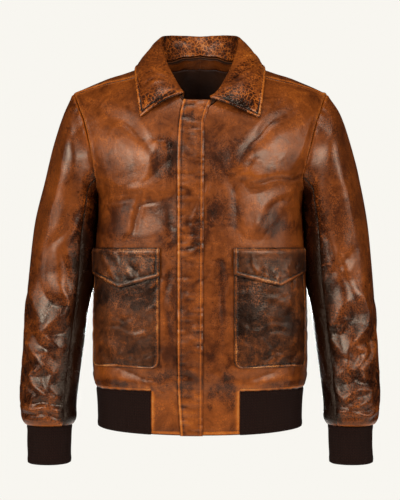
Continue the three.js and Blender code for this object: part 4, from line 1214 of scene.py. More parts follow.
def make_waist_rib():
    rows = even_rows(70, 4.0)[:, None]
    gap = mm("rib_pitch") / 4
    fine = np.linspace(0, 1, 2500)

    def front_part(end_x, f, s):
        level = lerp(HEM_Z, RIB_TOP_Z - SEAM, f)
        z_of = lambda x: lerp(hem_at(x), RIB_TOP_Z - SEAM, f)
        phi = lerp(phi_at(end_x, z_of(end_x)), 90, s)
        z = z_of(x_at(phi, level))
        return phi, FRONT.turn_at(phi, z)

    def back_part(f, s):
        phi = lerp(90, -90, s) + 0 * f
        return phi, BACK.turn_at(phi, lerp(HEM_Z, RIB_TOP_Z - SEAM, f))

    def spaced(part):
        lengths = running(body_point(*part(0.5, fine)))
        count = int(round(lengths[-1] / gap))
        return np.interp(np.linspace(0, lengths[-1], count + 1), lengths, fine)[None]

    left, right = (lambda f, s, x=RIB_END_X[side]: front_part(x, f, s) for side in ("left", "right"))
    phi_a, turn_a = left(rows, spaced(left))
    phi_b, turn_b = back_part(rows, spaced(back_part)[:, 1:-1])
    phi_c, turn_c = right(rows, spaced(right)[:, ::-1])
    phi = np.concatenate([phi_a, phi_b, -phi_c], 1)
    turn = np.concatenate([turn_a, turn_b, turn_c], 1)
    base, normal = on_body(phi, turn)
    round_mm = running(base[len(base) // 2])[None] + 0 * phi
    down = from_edge(base, 0, 0)
    z = base[..., 2]
    relief = -1.4 * bump(from_edge(base, 0, 1), 2.2) + 0.9 * bump(down - 5, 5)
    relief += 1.6 * (noise(round_mm, z, 46, 61) - 0.5)
    relief += 1.0 * (noise(round_mm, 0 * z, 19, 62) - 0.5) * smooth(-610, -580, z)
    relief -= 1.2 * bump(from_edge(base, 1, 0), 2) + 1.2 * bump(from_edge(base, 1, 1), 2)
    wall = Wall(base, normal, relief, 0, RIB_KNIT, bulge=0.5)
    piece = finish_rib(wall, "waist_rib", round_mm, down)
    declare(piece, "waist_rib")


def make_cuff(side):
    ribs = 72
    angles = np.linspace(180, 540, ribs * 4 + 1)
    downs = (len(CUFF_RINGS) - 1) * even_rows(65, 3.6)
    flip = side == "right"

    def shape(a, d):
        return ring_surface(CUFF_RINGS, a, d)

    base = shape(angles, downs)
    normal = normal_of(shape, angles, downs, 0.5, 0.02)
    round_mm = ((angles - 180) / 360 * ribs * mm("rib_pitch"))[:, None] + 0 * downs[None]
    down = from_edge(base, 1, 0)
    relief = 1.6 * (noise(angles[:, None] / 1.2 + 0 * down, down, 30, 71 if flip else 73) - 0.5)
    relief = relief * smooth(0, 12, down) + 0.8 * bump(from_edge(base, 1, 1) - 5, 5) - 1.2 * bump(down, 2)
    relief *= smooth(0, 10, np.minimum(angles - 180, 540 - angles))[:, None] * 0.8 + 0.2
    wall = Wall(base, normal, relief, 0, RIB_KNIT, bulge=0.5)
    piece = finish_rib(wall, "cuff_" + side, round_mm, down, flip)
    declare(piece, "cuff_" + side)


# Rings down the arm: (outer x, z), (inner x, z), middle y, half depth.
ARM_RINGS = (
    ((249, -93), (183, -254), 2, 76), ((268, -149), (184.5, -270), 3, 77), ((284, -212), (187, -292), 4, 75),
    ((297, -281), (189, -326), 3, 71), ((304, -353), (190.5, -374), 0, 67),
    ((309.5, -424), (195.5, -424), -4, 63), ((311.5, -493), (204.5, -493), -12, 60),
    ((314, -562), (212.5, -556), -22, 56), ((315, -606), (217, -601), -30, 53),
    ((312.5, -627), (217.5, -627), -34, 50.5), ((308, -637), (221, -637), -35, 46.5),
    ((304.2, -640), (223.8, -640), -35.5, 41),
)
CUFF_RINGS = (
    ((303.5, -640.5), (224.5, -640.5), -35.5, 40), ((302.5, -652), (225.5, -652), -36, 38.5),
    ((302, -680), (226.5, -680), -37, 37.5), ((301.5, -705.5), (227, -705.5), -38, 37),
)
right_slimmer = through((-640, 0), (-560, 0.5), (-420, 2), (-300, 3.5), (-220, 8.5), (-93, 7.5))
ARMHOLE_GAP = 0.45
FRONT_SEAM_ANGLE, BACK_SEAM_ANGLE, SLEEVE_SEAM_STEP = 129.6, 234.0, 0.17


def ring_points(rings, angles, slimmer=None):
    c, s = np.cos(np.radians(angles)), np.sin(np.radians(angles))
    found = []
    for (ox, oz), (ix, iz), y, depth in rings:
        slim = float(slimmer(oz)) if slimmer else 0.0
        f = (1 + c) / 2
        found.append(np.stack([lerp(ix, ox - slim, f), y - depth * s, lerp(iz, oz, f)], -1))
    return np.stack(found, -2)


def ring_surface(rings, angles, downs):
    points = ring_points(rings, angles)
    return along(points, np.broadcast_to(downs, (len(angles), len(downs))))


def sleeve_shape(side):
    slimmer = right_slimmer if side == "right" else None

    def shape(angles, downs):
        start = body_point(*armhole(angles)) + (ARMHOLE_GAP, 0, 0)
        points = np.concatenate([start[:, None], ring_points(ARM_RINGS, angles, slimmer)], 1)
        return along(points, np.broadcast_to(downs, (len(angles), len(downs))))

    return shape


SLEEVE_SPOTS = {
    "right": (
        (70, -560, 60, 46, 0.35), (60, -440, 60, 22, 0.3), (20, -300, 20, 120, 0.3),
        (120, -330, 26, 60, 0.35),
    ),
    "left": (
        (70, -570, 60, 46, 0.35), (60, -470, 60, 22, 0.3), (20, -330, 20, 120, 0.3),
        (126, -300, 26, 90, 0.2),
    ),
}


def make_sleeve(side, part):
    flip = side == "right"
    gap = mm("cell")
    shape = sleeve_shape(side)
    top_seams = (BACK_SEAM_ANGLE - 360, FRONT_SEAM_ANGLE)
    start, end = top_seams if part == "top" else (FRONT_SEAM_ANGLE, BACK_SEAM_ANGLE)
    start, end = start + SLEEVE_SEAM_STEP, end - SLEEVE_SEAM_STEP
    fine = np.linspace(start, end, 400)
    angles = lerp(start, end, evenly(running(shape(fine, np.array([5.0]))[:, 0]), gap))
    foot = len(ARM_RINGS)
    middle = np.array([(start + end) / 2])
    downs = foot * evenly(running(shape(middle, np.linspace(0, foot, 500))[0]), gap)
    base = shape(angles, downs)
    normal = normal_of(shape, angles, downs, 0.5, 0.02)
    panel = body_normal(*armhole(angles))
    lean = normal[:, 0, :1] > panel[:, :1]
    normal[:, 0] = np.where(lean, panel, normal[:, 0])
    # The seam allowance is turned under the panel, so the edge of the sleeve is drawn in and down.
    tucked = np.array((2.2, 1.2, 0.4))[None, :, None]
    base[:, :3] -= tucked * unit(base[:, 3:4] - base[:, :1]) + 0.6 * tucked * normal[:, :3]
    angle_grid, down_grid = angles[:, None] + 0 * downs[None], downs[None] + 0 * angles[:, None]
    relief = sleeve_relief(side, angle_grid, down_grid, base)
    top_d, foot_d = from_edge(base, 1, 0), from_edge(base, 1, 1)
    edge_d = from_ends(base, 0)
    calm = smooth(0, 9, edge_d)
    gathered = 0.8 * np.sin(2 * np.pi * (angle_grid / 13 + 1.4 * noise(angle_grid, down_grid, 40, 77)))
    gathered *= bump(top_d - 7, 8) * smooth(60, 20, np.abs(angle_grid - 20))
    relief = relief * (0.5 + 0.5 * calm) + gathered
    relief += sewn(top_d, angle_grid, 31) * smooth(0.0, 0.5, top_d + 0.4)
    relief += 0.25 * sewn(edge_d, top_d, 32) * smooth(0, 30, top_d) + 0.7 * bump(foot_d - 16, 9)
    wall = Wall(base, normal, relief, 0, LEATHER)
    rubbed, dirt = seam_wear(top_d)
    seam_rubbed, seam_dirt = seam_wear(edge_d)
    rubbed, dirt = 0.6 * rubbed + 0.15 * seam_rubbed, np.maximum(dirt, 0.6 * seam_dirt)
    crest, dip = crests(relief)
    z = base[..., 2]
    turned = turned_angle(angle_grid)
    behind = np.where(turned > 170, BEHIND_ANGLE - turned, turned)
    # Painted shade in the dips and, near black, on the side of the sleeve that faces the body; seam dirt,
    # patches and darker forearms besides.
    fields = {
        "worn": rubbed + 0.3 * crest + 0.7 * bump(foot_d - 4, 3.5),
        "soiled": dirt + 0.25 * dip + spots(behind, z, *SLEEVE_SPOTS[side])
        + 0.6 * smooth(-300, -450, z) * smooth(0, 22, foot_d)
        + 1.15 * smooth(98, 140, behind) * smooth(-130, -200, z),
    }
    name = f"sleeve_{part}_{side}"
    piece = wall.mesh(name + "_leather", fields, flat_map(base), materials["sleeve"], flip)
    declare(piece, name)


# ------------------------------------------------------------------ collar

fold_x = through(
    (8, 10), (18, 25), (40, 44), (60, 58), (80, 67), (100, 71), (120, 66), (140, 50), (160, 27), (180, 0)
)
fold_y = through(
    (8, -104), (18, -99), (40, -68), (60, -34), (80, -2), (100, 24), (120, 47), (140, 66), (160, 78),
    (180, 83),
)
fold_z = through(
    (8, -76), (18, -69), (40, -40), (60, -9), (80, 21), (100, 41), (120, 51.5), (140, 55.5), (160, 56.5),
    (180, 56),
)
leaf_x = through(
    (8, 96), (20, 100), (40, 107), (60, 111), (78, 113), (95, 113), (115, 107), (135, 88), (150, 62),
    (165, 33), (180, 0),
)
leaf_turn = through(
    (8, 0.71), (20, 0.7), (40, 0.535), (60, 0.37), (78, 0.216), (95, 0), (115, -0.15), (135, -0.28),
    (150, -0.39), (165, -0.5), (180, -0.59),
)
leaf_puff = through((8, 4), (30, 6), (55, 6.5), (75, 3.5), (90, 2), (110, 2.5), (180, 4))
COLLAR_START, COLLAR_END = 21.5, 347.0
FOLD_RADIUS, COLLAR_CLEAR = 4.2, 2.6


def collar_points(at):
    """Eight points for each place round the neck: up the stand, over the fold and down the leaf."""
    side = np.where(at < 180, -1.0, 1.0)
    a = np.minimum(at, 360 - at)
    fold_line = lambda w: np.stack([fold_x(w), fold_y(w), fold_z(w)], -1)
    top = fold_line(a)
    seam = body_point(*neckline(a))
    seam = seam + COLLAR_CLEAR * unit(top - seam)
    turn, x = leaf_turn(a), leaf_x(a)
    behind, ahead = (face.ridge(x) - face.drop(np.abs(turn)) for face in (BACK, FRONT))
    form, way_out = on_body(phi_at(x, np.where(turn < 0, behind, ahead)), turn)
    edge = form + 3.4 * way_out
    past = fold_line(357 - a) * (-1, 1, 1)
    after = np.where((a > 177)[..., None], past, fold_line(a + 3))
    round_way = unit(after - fold_line(a - 3))

    def across(start, end):
        d = end - start
        return unit(d - round_way * np.sum(d * round_way, -1, keepdims=True))

    up = unit(across(seam, top) - across(top, edge))
    out = unit(np.cross(round_way, up))
    radius = np.minimum(FOLD_RADIUS, 0.42 * np.linalg.norm(top - seam, axis=-1))[..., None]
    centre = top - up * radius
    stand, leaf = centre - out * radius, centre + out * radius
    raised = unit(np.cross(edge - leaf, round_way))
    puff = leaf_puff(a)[..., None]
    on_leaf = lambda f, bulge: lerp(leaf, edge, f) + raised * bulge
    low, high = on_leaf(0.7, 0.8 * puff), on_leaf(0.35, puff)
    points = np.stack([seam, lerp(seam, stand, 0.5), stand, top, leaf, high, low, edge], -2)
    points[..., 0] *= side[..., None]
    return points


def collar_shape(at, f):
    return along(collar_points(at), np.broadcast_to(f, (len(at), len(f))))


def make_collar(layer):
    fine = np.linspace(COLLAR_START, COLLAR_END, 800)
    lengths = running(collar_shape(fine, np.array([6.0]))[:, 0])
    at = lerp(COLLAR_START, COLLAR_END, evenly(lengths, mm("cell")))
    # The stand, the fold, the leaf, and closer rows at its edge.
    stand, bend, leaf = np.linspace(0, 2, 16)[:-1], np.linspace(2, 4, 13)[:-1], np.linspace(4, 6.6, 24)
    f = np.concatenate([stand, bend, leaf, (6.75, 6.87, 6.95, 7.0)])
    base = collar_shape(at, f)
    normal = normal_of(collar_shape, at, f, 0.4, 0.03)
    edge_d, end_d, around = from_edge(base, 1, 1), from_ends(base, 0), from_edge(base, 0, 0)
    rim_d = np.minimum(edge_d, end_d)
    on_leaf = smooth(3.6, 4.6, f)[None] + 0 * around
    wx, wz = wander(around, edge_d, 6, 30, 401)
    relief = 1.7 * (noise(wx, wz, 46, 403) - 0.45) + 0.9 * (noise(wx, wz, 20, 404) - 0.5)
    relief += crumples(wx, wz, 405, (0, 0, 760, 80), 46, 30, 0.8, 4, 80, 40)
    relief *= 0.25 + 0.75 * on_leaf * smooth(0, 14, rim_d)
    relief += 2.4 * (ridged(around, edge_d, 38, 409) - 0.6) * (bump(f - 1.6, 1.1)[None] + 0 * around)
    edge_shape = 1.4 * turned_edge(rim_d) * on_leaf
    upper = layer == "upper"
    relief = relief + (edge_shape if upper else 0.2 * edge_shape)
    wall = Wall(base, normal, relief, LEATHER + SEAM if upper else 0, LEATHER)
    rubbed, _ = seam_wear(rim_d)
    crest, dip = crests(relief, 0.8)
    fold_rub = 0.45 * bump(f[None] - 3.1, 0.5) + 0 * around
    patches = smooth(0.4, 0.66, noise(wx, wz, 34, 407)) * on_leaf
    tips = smooth(62, 20, end_d + 0.3 * wz)
    # Painted shade in the dips; a darker stitch line, patches, darker tips and a darker stand below the fold
    # besides.
    fields = {
        "worn": 0.9 * rubbed * on_leaf + 0.4 * crest + fold_rub * noise(wx, wz, 14, 408),
        "soiled": 0.8 * bump(rim_d - STITCH_INSET, 1.2) * on_leaf + 0.6 * dip + 0.5 * patches
        + 0.75 * tips * on_leaf + 0.8 * smooth(3.4, 2.8, f)[None],
    }
    name = layer + "_collar"
    piece = wall.mesh(name + "_leather", fields, np.stack([around, edge_d], -1), materials["collar"])
    declare(piece, name)
    if upper:
        grid = wall.outer_grid
        keep_line("collar", inset_line(grid, 1, 1, STITCH_INSET, 0.012, 0.988))
        for end in (0, 1):
            keep_line("collar", inset_line(grid, 0, end, STITCH_INSET, 0.66, 0.93))


# ------------------------------------------------------------------ what lies on the fronts


FLAP_PAST = 1.2  # how far a flap reaches past its pocket, in degrees of phi


def pocket_puff(side, x, z):
    """How full the pocket hangs at a place."""
    size = POCKET[side]
    outer = x_at(size["outer_phi"], z)
    u = np.clip((x - size["inner"]) / (outer - size["inner"]), 0, 1)
    v = np.clip((z - POCKET_FOOT_Z) / (POCKET_TOP_Z - POCKET_FOOT_Z), 0, 1)
    return 3.0 * (np.sin(np.pi * u) * np.sin(np.pi * np.minimum(v * 0.9 + 0.02, 1))) ** 0.7


def make_pocket(side):
    flip = side == "right"
    size = POCKET[side]
    gap = mm("cell")
    corner = np.linspace(0, 1, 8) * np.pi / 2
    levels = POCKET_FOOT_Z + POCKET_CORNER * (1 - np.cos(corner))
    straight = np.linspace(levels[-1], POCKET_TOP_Z, int((POCKET_TOP_Z - levels[-1]) / gap))[1:]
    z = np.concatenate([levels, straight])[:, None]
    inset = np.concatenate([1 - np.sin(corner), 0 * straight])[:, None]
    outer_x = x_at(size["outer_phi"], z) - inset * POCKET_CORNER / 2.6
    start, end = phi_at(size["inner"] + inset * POCKET_CORNER, z), phi_at(outer_x, z)
    phi = lerp(start, end, even_rows(136, gap)[None])
    turn = FRONT.turn_at(phi, z + 0 * phi)
    base, normal = on_body(phi, turn)
    real = base * (-1 if flip else 1, 1, 1)
    x, level, real_x = base[..., 0], base[..., 2], real[..., 0]
    foot_d = from_edge(base, 0, 0)
    rim_d = np.minimum(from_ends(base, 1), foot_d)
    relief = body_relief(-phi if flip else phi, turn, real) + pocket_puff(side, x, level)
    relief += 1.5 * (noise(real_x, level, 30, 501) - 0.5) * smooth(0, 20, rim_d)
    box, seed = (-180, -530, 180, -340), 502 if flip else 503
    relief += crumples(real_x, level, seed, box, 60, 30, 0.8, 3.6, 60, 60) * smooth(3, 16, rim_d)
    relief += 1.3 * turned_edge(rim_d)
    wall = Wall(base, normal, relief, LAID_ON + POCKET_HIDE, POCKET_HIDE, bulge=0.5)
    rubbed, _ = seam_wear(rim_d)
    crest, dip = crests(relief, 0.8)
    point_x, point_z = size["point"]
    flap_x = (size["inner"], point_x, x_at(size["outer_phi"] + FLAP_PAST, point_z))
    # How far below the flap's edge each point lies, for the painted shadow the flap casts.
    below_flap = np.interp(x, flap_x, (size["flap_inner_z"], point_z, size["flap_outer_z"])) - level
    seed, all_over = (505, 0.05) if flip else (507, 0.3)
    # Painted shade in the dips and a painted shadow in a band just below the flap's edge; a darker stitch
    # line, patches and an even darkening besides.
    fields = {
        "worn": 1.15 * rubbed + 0.4 * crest,
        "soiled": 1.1 * bump(rim_d - STITCH_INSET, 1.3) + 0.6 * dip + 0.7 * bump(below_flap - 2, 4)
        + 0.55 * smooth(0.42, 0.7, noise(real_x, level, 46, seed)) + all_over,
    }
    name = "pocket_" + side
    piece = wall.mesh(name + "_leather", fields, flat_map(base), materials["pocket"], flip)
    declare(piece, name)
    grid = wall.outer_grid
    corner_row = int(np.argmax(foot_d[:, 0] > STITCH_INSET)) / (len(grid) - 1)
    inner, outer = (inset_line(grid, 1, end, STITCH_INSET, corner_row) for end in (0, 1))
    corner_column = 6 / (grid.shape[1] - 1)
    foot = inset_line(grid, 0, 0, STITCH_INSET, corner_column, 1 - corner_column)
    keep_line("pockets", np.concatenate([inner[::-1], foot, outer]), flip)


def make_pocket_flap(side):
    flip = side == "right"
    size = POCKET[side]
    (point_x, point_z), inner, outer_z = size["point"], size["inner"] - 1, size["flap_outer_z"]
    gap = SMALL_CELL
    outer_x = x_at(size["outer_phi"] + FLAP_PAST, outer_z)
    # From the inner end to the point, and on to the outer end.
    near, far = even_rows(76, gap), even_rows(64, gap)[1:]
    x0, foot0 = lerp(inner, point_x, near), lerp(size["flap_inner_z"], point_z, near)
    x1 = x_at(lerp(phi_at(point_x, point_z), phi_at(outer_x, outer_z), far), outer_z)
    foot1 = lerp(point_z, outer_z, np.minimum(1, (x1 - point_x) / (outer_x - point_x)))
    x, foot = np.concatenate([x0, x1])[None], np.concatenate([foot0, foot1])[None]
    z = lerp(POCKET_TOP_Z + 3, foot, even_rows(55, gap)[:, None])
    phi, turn = on_front(x + 0 * z, z)
    base, normal = on_body(phi, turn)
    real = base * (-1 if flip else 1, 1, 1)
    x, level, real_x = base[..., 0], base[..., 2], real[..., 0]
    foot_d, top_d = from_edge(base, 0, 1), from_edge(base, 0, 0)
    rim_d = np.minimum(from_ends(base, 1), foot_d)
    relief = body_relief(-phi if flip else phi, turn, real) + pocket_puff(side, x, level)
    relief += 1.6 * bump(np.hypot(x - point_x, level - point_z), 26) + 0.7 * noise(real_x, z, 26, 511)
    relief += 1.3 * turned_edge(rim_d) - 1.6 * bump(top_d, 3) + 0.5 * bump(top_d - 8, 5)
    box, seed = (-170, -392, 170, -342), 515 if flip else 517
    relief += crumples(real_x, z, seed, box, 30, 26, 1.3, 3.4, 96, 26) * smooth(2, 10, rim_d)
    lift = LAID_ON + POCKET_HIDE + 1 + FOLDED  # clear of the pocket by 1 mm
    wall = Wall(base, normal, relief, lift, FOLDED, bulge=0.5)
    rubbed, _ = seam_wear(rim_d)
    crest, dip = crests(relief, 0.8)
    # Painted shade in the dips; a darker stitch line, a dark line along the sewn top, patches and an even
    # darkening besides.
    fields = {
        "worn": 0.7 * rubbed + 0.4 * crest + 0.6 * bump(top_d - 3, 2.2),
        "soiled": 0.9 * bump(rim_d - STITCH_INSET, 1.3) + 0.7 * dip + 0.5 * bump(top_d, 0.9)
        + 0.5 * smooth(0.45, 0.7, noise(real_x, level, 30, 513)) + 0.15,
    }
    name = "pocket_flap_" + side
    piece = wall.mesh(name + "_leather", fields, flat_map(base), materials["pocket"], flip)
    declare(piece, name)
    grid = wall.outer_grid
    corner_column = 5 / (grid.shape[1] - 1)
    keep_line("pockets", inset_line(grid, 0, 1, STITCH_INSET, corner_column, 1 - corner_column), flip)
    for end in (0, 1):
        keep_line("pockets", inset_line(grid, 1, end, STITCH_INSET, 0.06, 0.84), flip)
    keep_line("pockets", inset_line(grid, 0, 0, 4.0, 0.03, 0.97), flip)


storm_free_x = through(
    (-652, -33), (-615, -35.5), (-560, -38), (-180, -38), (-130, -36.5), (-96, -33), (-77, -27)
)
storm_sewn_x = through((-652, 4), (-400, 5), (-240, 6), (-120, 7), (-96, 13), (-77, 21))


def make_storm_flap():
    g = even_rows(44, 2.4)[None]
    low = even_rows(RIB_TOP_Z - HEM_Z + HEM_DIP, 2.5)[:, None]
    high = lerp(RIB_TOP_Z, STORM_TOP_Z, even_rows(STORM_TOP_Z - RIB_TOP_Z, 2.5))[1:, None]
    level = np.concatenate([lerp(HEM_Z - HEM_DIP, RIB_TOP_Z, low), high])
    x = lerp(storm_free_x(level), storm_sewn_x(level), g)
    z_low = lerp(hem_at(x[: len(low)]), RIB_TOP_Z, low)
    z = np.concatenate([z_low, high + 0 * x[len(low) :]])
    phi, turn = on_front(x, z)
    base, normal = on_body(phi, turn)
    free_d, sewn_d = from_edge(base, 1, 0), from_edge(base, 1, 1)
    foot_d = from_edge(base, 0, 0)
    ripple = noise(x * 0.35, z, 9, 521) - 0.5 + 0.6 * (noise(x * 0.3, z, 4.6, 522) - 0.5)
    strength = 2.0 + 1.2 * smooth(-190, -100, z) + 1.2 * bump(z + 470, 50) + 0.8 * bump(z + 330, 30)
    relief = body_relief(phi, turn, base) + strength * ripple
    relief += 0.5 * turned_edge(free_d) + 0.5 * bump(free_d - 1.6, 1.4) + 0.4 * turned_edge(foot_d)
    relief += -1.0 * smooth(5, 0, sewn_d) - 0.6 * bump(sewn_d - STITCH_INSET, 1.3)
    wall = Wall(base, normal, relief, LAID_ON + FOLDED, FOLDED, bulge=0.5)
    crest, dip = crests(relief, 0.8)
    dark_spots = spots(x, z, (-20, -110, 26, 22, 0.4), (-30, -560, 16, 40, 0.5), (-6, -300, 12, 60, 0.4))
    # Painted shade in the dips and along the free edge; a darker stitch line, stains and smears besides.
    fields = {
        "worn": 0.9 * bump(free_d - 2, 1.6) + 0.35 * crest + 0.6 * bump(sewn_d - 4, 1.2),
        "soiled": 0.25 * bump(free_d - STITCH_INSET, 1.2) + 0.7 * dip + 0.5 * bump(free_d, 0.8)
        + dark_spots + 0.4 * streaks(x + 30, z, 543),
    }
    piece = wall.mesh("storm_flap_leather", fields, flat_map(base), materials["leather"])
    declare(piece, "storm_flap")
    grid = wall.outer_grid
    for end in (0, 1):
        keep_line("storm", inset_line(grid, 1, end, STITCH_INSET, 0.012, 0.99))


def make_neck_inside():
    angles = np.linspace(NECK_RIDGE_ANGLE + 2, 360 - NECK_RIDGE_ANGLE - 2, 110)
    phi, turn = neckline(np.minimum(angles, 360 - angles))
    phi = np.where(angles > 180, -phi, phi)
    depth = 0.11  # of the facing, as a turn
    across, down = (np.linspace(0, 1, rows)[:, None] for rows in (12, 40))
    spread = turn - depth - 0.003 - down * lerp(0.42, 0.3, np.abs(phi) / 20)
    for name, kind, u, v, lift, waves, flat, area in (
        ("neck_facing", "facing", phi + 0 * across, turn - across * depth, -4.6, 0.0, (0.2, 0.03), 0.0035),
        ("back_lining", "lining", phi * (1 + 2 * down), spread, -5.0, 1.0, (0.4, 0.16), 0.038),
    ):
        base, normal = on_body(u, v)
        relief = body_relief(u, v, base) + waves * (noise(base[..., 0], base[..., 2], 26, 531) - 0.5)
        wall = Wall(base, normal, relief, lift - LEATHER, LINING)
        wall.inside[:] = 0  # its good face is the one towards the neck
        rim = from_edge(base, 0, 0)
        fields = {
            "worn": 0.2 * ridged(0.25 * base[..., 0], rim, 9, 533),
            "soiled": 0.7 * bump(rim, 2) + 0.6 * bump(from_edge(base, 0, 1), 2.5),
        }
        piece = wall.mesh(name + "_cloth", fields, flat_map(base), materials[kind])
        declare(piece, name)


def stitch_tree():
    """A row of stitches along a line: short rounded bars, a pitch apart, turned the way the line runs."""
    sizes = {"Stitch Pitch": 0.004, "Stitch Length": 0.003, "Thread Width": 0.0008}
    tree, given = pattern_tree("row_of_stitches", sizes)
    line = add(tree, "GeometryNodeMeshToCurve", {}, {0: given["Geometry"]}).outputs[0]
    points = add(
        tree, "GeometryNodeCurveToPoints", {}, {0: line, "Length": given["Stitch Pitch"]}, mode="LENGTH"
    ).outputs
    turn = add(tree, "FunctionNodeAlignRotationToVector", {}, {"Vector": points["Tangent"]}, axis="Z")
    bar = add(tree, "GeometryNodeMeshUVSphere", {"Segments": 6, "Rings": 4, "Radius": 0.5})
    size = add(
        tree, "ShaderNodeCombineXYZ", {},
        {0: given["Thread Width"], 1: given["Thread Width"], 2: given["Stitch Length"]},
    )
    links = {"Instance": bar.outputs[0], "Rotation": turn.outputs[0], "Scale": size.outputs[0]}
    copies = add(tree, "GeometryNodeInstanceOnPoints", {}, {"Points": points["Points"], **links}).outputs[0]
    real = add(tree, "GeometryNodeRealizeInstances", {}, {0: copies}).outputs[0]
    return end_tree(tree, given, add(tree, "GeometryNodeSetShadeSmooth", {}, {0: real}).outputs[0])


def make_stitches():
    sizes = bpy.context.scene.jacket_sizes
    values = {
        "Stitch Pitch": sizes.stitch_pitch, "Stitch Length": sizes.stitch_length,
        "Thread Width": sizes.thread, "Finish": materials["thread"],
    }
    tree = stitch_tree()
    slots = {"seams": "leather", "collar": "collar_leather", "pockets": "pocket_leather", "storm": "leather"}
    for group, slot in slots.items():
        points, edges = [], []
        for line in stitch_lines[group]:
            start = len(points)
            points += (line / 1000).tolist()
            edges += [(start + i, start + i + 1) for i in range(len(line) - 1)]
        mesh = bpy.data.meshes.new("stitches_" + group)
        mesh.from_pydata(points, edges, [])
        piece = new_object("stitches_" + group, mesh)
        run_nodes(piece, tree, values)
        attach(piece, "root")


def finish_zip():
    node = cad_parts["zip"]
    node.data.materials.clear()
    node.data.materials.append(materials["zip"])


# ------------------------------------------------------------------ the stage

# In metres, apart from the lens and its sensor.
CAMERA_AWAY, CAMERA_Z, AIM_Z = 2.5, -0.335, -0.33
LENS_MM, SENSOR_MM = 101.1, 36
FLOOR_Z, FLOOR_RADIUS = -1.25, 1.9


def make_stage():
    scene = bpy.context.scene
    camera = new_object("camera", bpy.data.cameras.new("camera"))
    camera.data.lens, camera.data.sensor_width = LENS_MM, SENSOR_MM
    camera.location, camera.rotation_euler = (0, -CAMERA_AWAY, CAMERA_Z), (np.pi / 2, 0, 0)
    scene.camera = camera
    scene.view_settings.view_transform = "Standard"

    world = bpy.data.worlds.new("studio")
    scene.world = world
    world.use_nodes = True
    tree = world.node_tree
    paper = rgba(scene.jacket_colours.paper)
    tree.nodes.clear()
    seen = add(tree, "ShaderNodeBackground", {"Color": paper, "Strength": 1.0})
    fill = add(tree, "ShaderNodeBackground", {"Color": paper, "Strength": scene.jacket_sizes.fill_light})
    direct = add(tree, "ShaderNodeLightPath").outputs["Is Camera Ray"]
    both = add(tree, "ShaderNodeMixShader", {}, {0: direct, 1: fill.outputs[0], 2: seen.outputs[0]})
    add(tree, "ShaderNodeOutputWorld", {}, {0: both.outputs[0]})

    mesh = bpy.data.meshes.new("studio_floor")
    ring = np.radians(np.arange(0, 360, 5))
    corners = [(FLOOR_RADIUS * np.cos(a), FLOOR_RADIUS * np.sin(a), FLOOR_Z) for a in ring]
    mesh.from_pydata(corners, [], [tuple(range(len(corners)))])
    floor = new_object("studio_floor", mesh)
    mesh.materials.append(new_material("matt_paper", {"Base Color": paper, "Roughness": 0.9})[0])

    # Name, place, width and height, and power in watts.
    for name, place, size, power in (
        ("key", (-1.6, -2.3, 0.5), (1.5, 0.8), 50),
        ("second", (1.7, -2.2, 0.45), (1.2, 0.8), 36),
        ("top", (0.0, -1.1, 1.9), (1.2, 0.5), 14),
        ("left_side", (-2.4, -0.9, 0.2), (0.4, 1.2), 7),
        ("right_side", (2.4, -0.9, 0.2), (0.4, 1.2), 7),
        ("behind", (0.0, 2.6, -0.33), (0.5, 0.6), 55),
    ):
        lamp = bpy.data.lights.new(name, "AREA")
        lamp.shape, lamp.size, lamp.size_y, lamp.energy = "RECTANGLE", size[0], size[1], power
        light = new_object(name, lamp)
        light.location = place
        x, y, z = np.array((0, 0, AIM_Z)) - place
        light.rotation_euler = (np.pi / 2 + np.arctan2(z, np.hypot(x, y)), 0, np.arctan2(-x, y))


# ------------------------------------------------------------------ the add-on


def length(name, description, size, least, most):
    """A length in metres, of which the default and the limits are given in millimetres."""
    return FloatProperty(
        name=name, description=description, subtype="DISTANCE", precision=5, default=size / 1000,
        min=least / 1000, max=most / 1000,
    )


def colour(name, description, hex_colour):
    return FloatVectorProperty(
        name=name, description=description, subtype="COLOR", size=3, min=0, max=1, default=linear(hex_colour)
    )


class JacketSizes(bpy.types.PropertyGroup):
    """Sizes a user may change."""

    cell: length("Cell", "Spacing of the cloth's mesh", 2.8, 1.5, 8)
    rib_pitch: length("Rib Pitch", "From rib to rib of the knit", 3.4, 2, 6)
    rib_height: length("Rib Height", "Depth of the knit's ribs", 1.2, 0, 3)
    stitch_pitch: length("Stitch Pitch", "From stitch to stitch", 4, 2, 8)
    stitch_length: length("Stitch Length", "Visible length of a stitch", 3.1, 1, 7)
    thread: length("Thread", "Width of the sewing thread", 0.9, 0.3, 2)
    fill_light: FloatProperty(
        name="Fill Light", description="Strength of the light from all round", default=0.02, min=0
    )


class JacketColours(bpy.types.PropertyGroup):
    """Colours a user may change."""

    # Crease and Deep are also the tones of the painted shade in dips and where parts meet.
    crease: colour("Crease", "Leather down in a crease or seam", "#1a0903")
    deep: colour("Deep", "Leather that has kept its dark wax", "#471d07")
    body: colour("Body", "Most of the leather", "#8a4415")
    bright: colour("Bright", "Leather with the wax rubbed thin", "#b7601a")
    rubbed: colour("Rubbed", "Crests and edges rubbed pale", "#c88a4c")
    patch_deep: colour("Dark Patch", "Darkest of the pockets", "#241008")
    patch: colour("Patch", "Pocket leather between its patches", "#552a10")
    # The rib's two colours are painted shade and a painted highlight on the knit's loops.
    rib: colour("Rib", "Down between the ribs of the knit", "#150804")
    rib_light: colour("Rib Crown", "Crown of the knit's ribs", "#271108")
    lining: colour("Lining", "Lining in shade", "#301708")
    lining_light: colour("Lining Light", "Lining where it catches light", "#4e2a12")
    thread: colour("Thread", "Sewing thread", "#3a2012")
    brass: colour("Brass", "Teeth of the zip", "#9a7f45")
    paper: colour("Paper", "Backdrop and floor", "#f8f6f0")


def step(identifier, label, text, *jobs):
    """An operator class that does jobs in order and fails aloud."""

    def execute(self, context):
        for job, *given in jobs:
            job(*given)
        return {"FINISHED"}

    body = {"bl_idname": "jacket." + identifier, "bl_label": label, "__doc__": text, "execute": execute}
    return type("JACKET_OT_" + identifier, (bpy.types.Operator,), body)


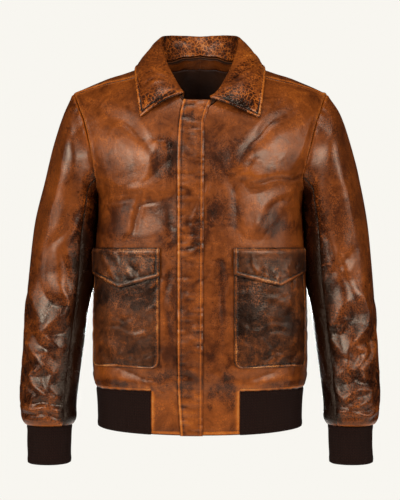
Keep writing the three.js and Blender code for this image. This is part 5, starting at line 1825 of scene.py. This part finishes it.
SIDES = ("left", "right")
SLEEVES = [(make_sleeve, side, part) for side in SIDES for part in ("top", "under")]
POCKETS = [(job, side) for side in SIDES for job in (make_pocket, make_pocket_flap)]
OPERATORS = (
    step("add_stage", "Stage", "Adds the stage, and mixes the finishes", (make_stage,), (make_materials,)),
    step("add_fronts", "Fronts", "Adds both front panels", *((make_front, side) for side in SIDES)),
    step("add_back", "Back", "Adds the back panel, with its two shoulders", (make_back,)),
    step("add_waist_rib", "Waist Rib", "Adds the knitted rib at the waist", (make_waist_rib,)),
    step("add_sleeves", "Sleeves", "Adds both sleeves, top and under", *SLEEVES),
    step("add_cuffs", "Cuffs", "Adds the knitted cuffs", *((make_cuff, side) for side in SIDES)),
    step("add_collar", "Collar", "Adds both layers", *((make_collar, layer) for layer in ("under", "upper"))),
    step("add_pockets", "Pockets", "Adds the patch pockets and their flaps", *POCKETS),
    step("add_storm_flap", "Storm Flap", "Adds the flap that covers the zip", (make_storm_flap,)),
    step("add_neck_inside", "Neck Inside", "Adds the facing and lining inside the back", (make_neck_inside,)),
    step("finish_zip", "Zip", "Gives the zip its brass and tape", (finish_zip,)),
    step("add_stitches", "Topstitching", "Sews the seams' and edges' topstitching", (make_stitches,)),
)


class JACKET_PT_pieces(bpy.types.Panel):
    """Lists the pieces in the order they are made."""

    bl_label = "Leather Flight Jacket"
    bl_idname = "JACKET_PT_pieces"
    bl_space_type = "VIEW_3D"
    bl_region_type = "UI"
    bl_category = "Jacket"

    def draw(self, context):
        for group in (context.scene.jacket_sizes, context.scene.jacket_colours):
            for name in group.__annotations__:
                self.layout.prop(group, name)
        for operator in OPERATORS:
            self.layout.operator(operator.bl_idname)


CLASSES = (JacketSizes, JacketColours, *OPERATORS, JACKET_PT_pieces)


def register():
    for item in CLASSES:
        bpy.utils.register_class(item)
    bpy.types.Scene.jacket_sizes = PointerProperty(type=JacketSizes)
    bpy.types.Scene.jacket_colours = PointerProperty(type=JacketColours)


def unregister():
    del bpy.types.Scene.jacket_colours
    del bpy.types.Scene.jacket_sizes
    for item in reversed(CLASSES):
        bpy.utils.unregister_class(item)


def main():
    register()
    for operator in OPERATORS:
        getattr(bpy.ops.jacket, operator.bl_idname.split(".")[1])()


if __name__ == "__main__":
    main()
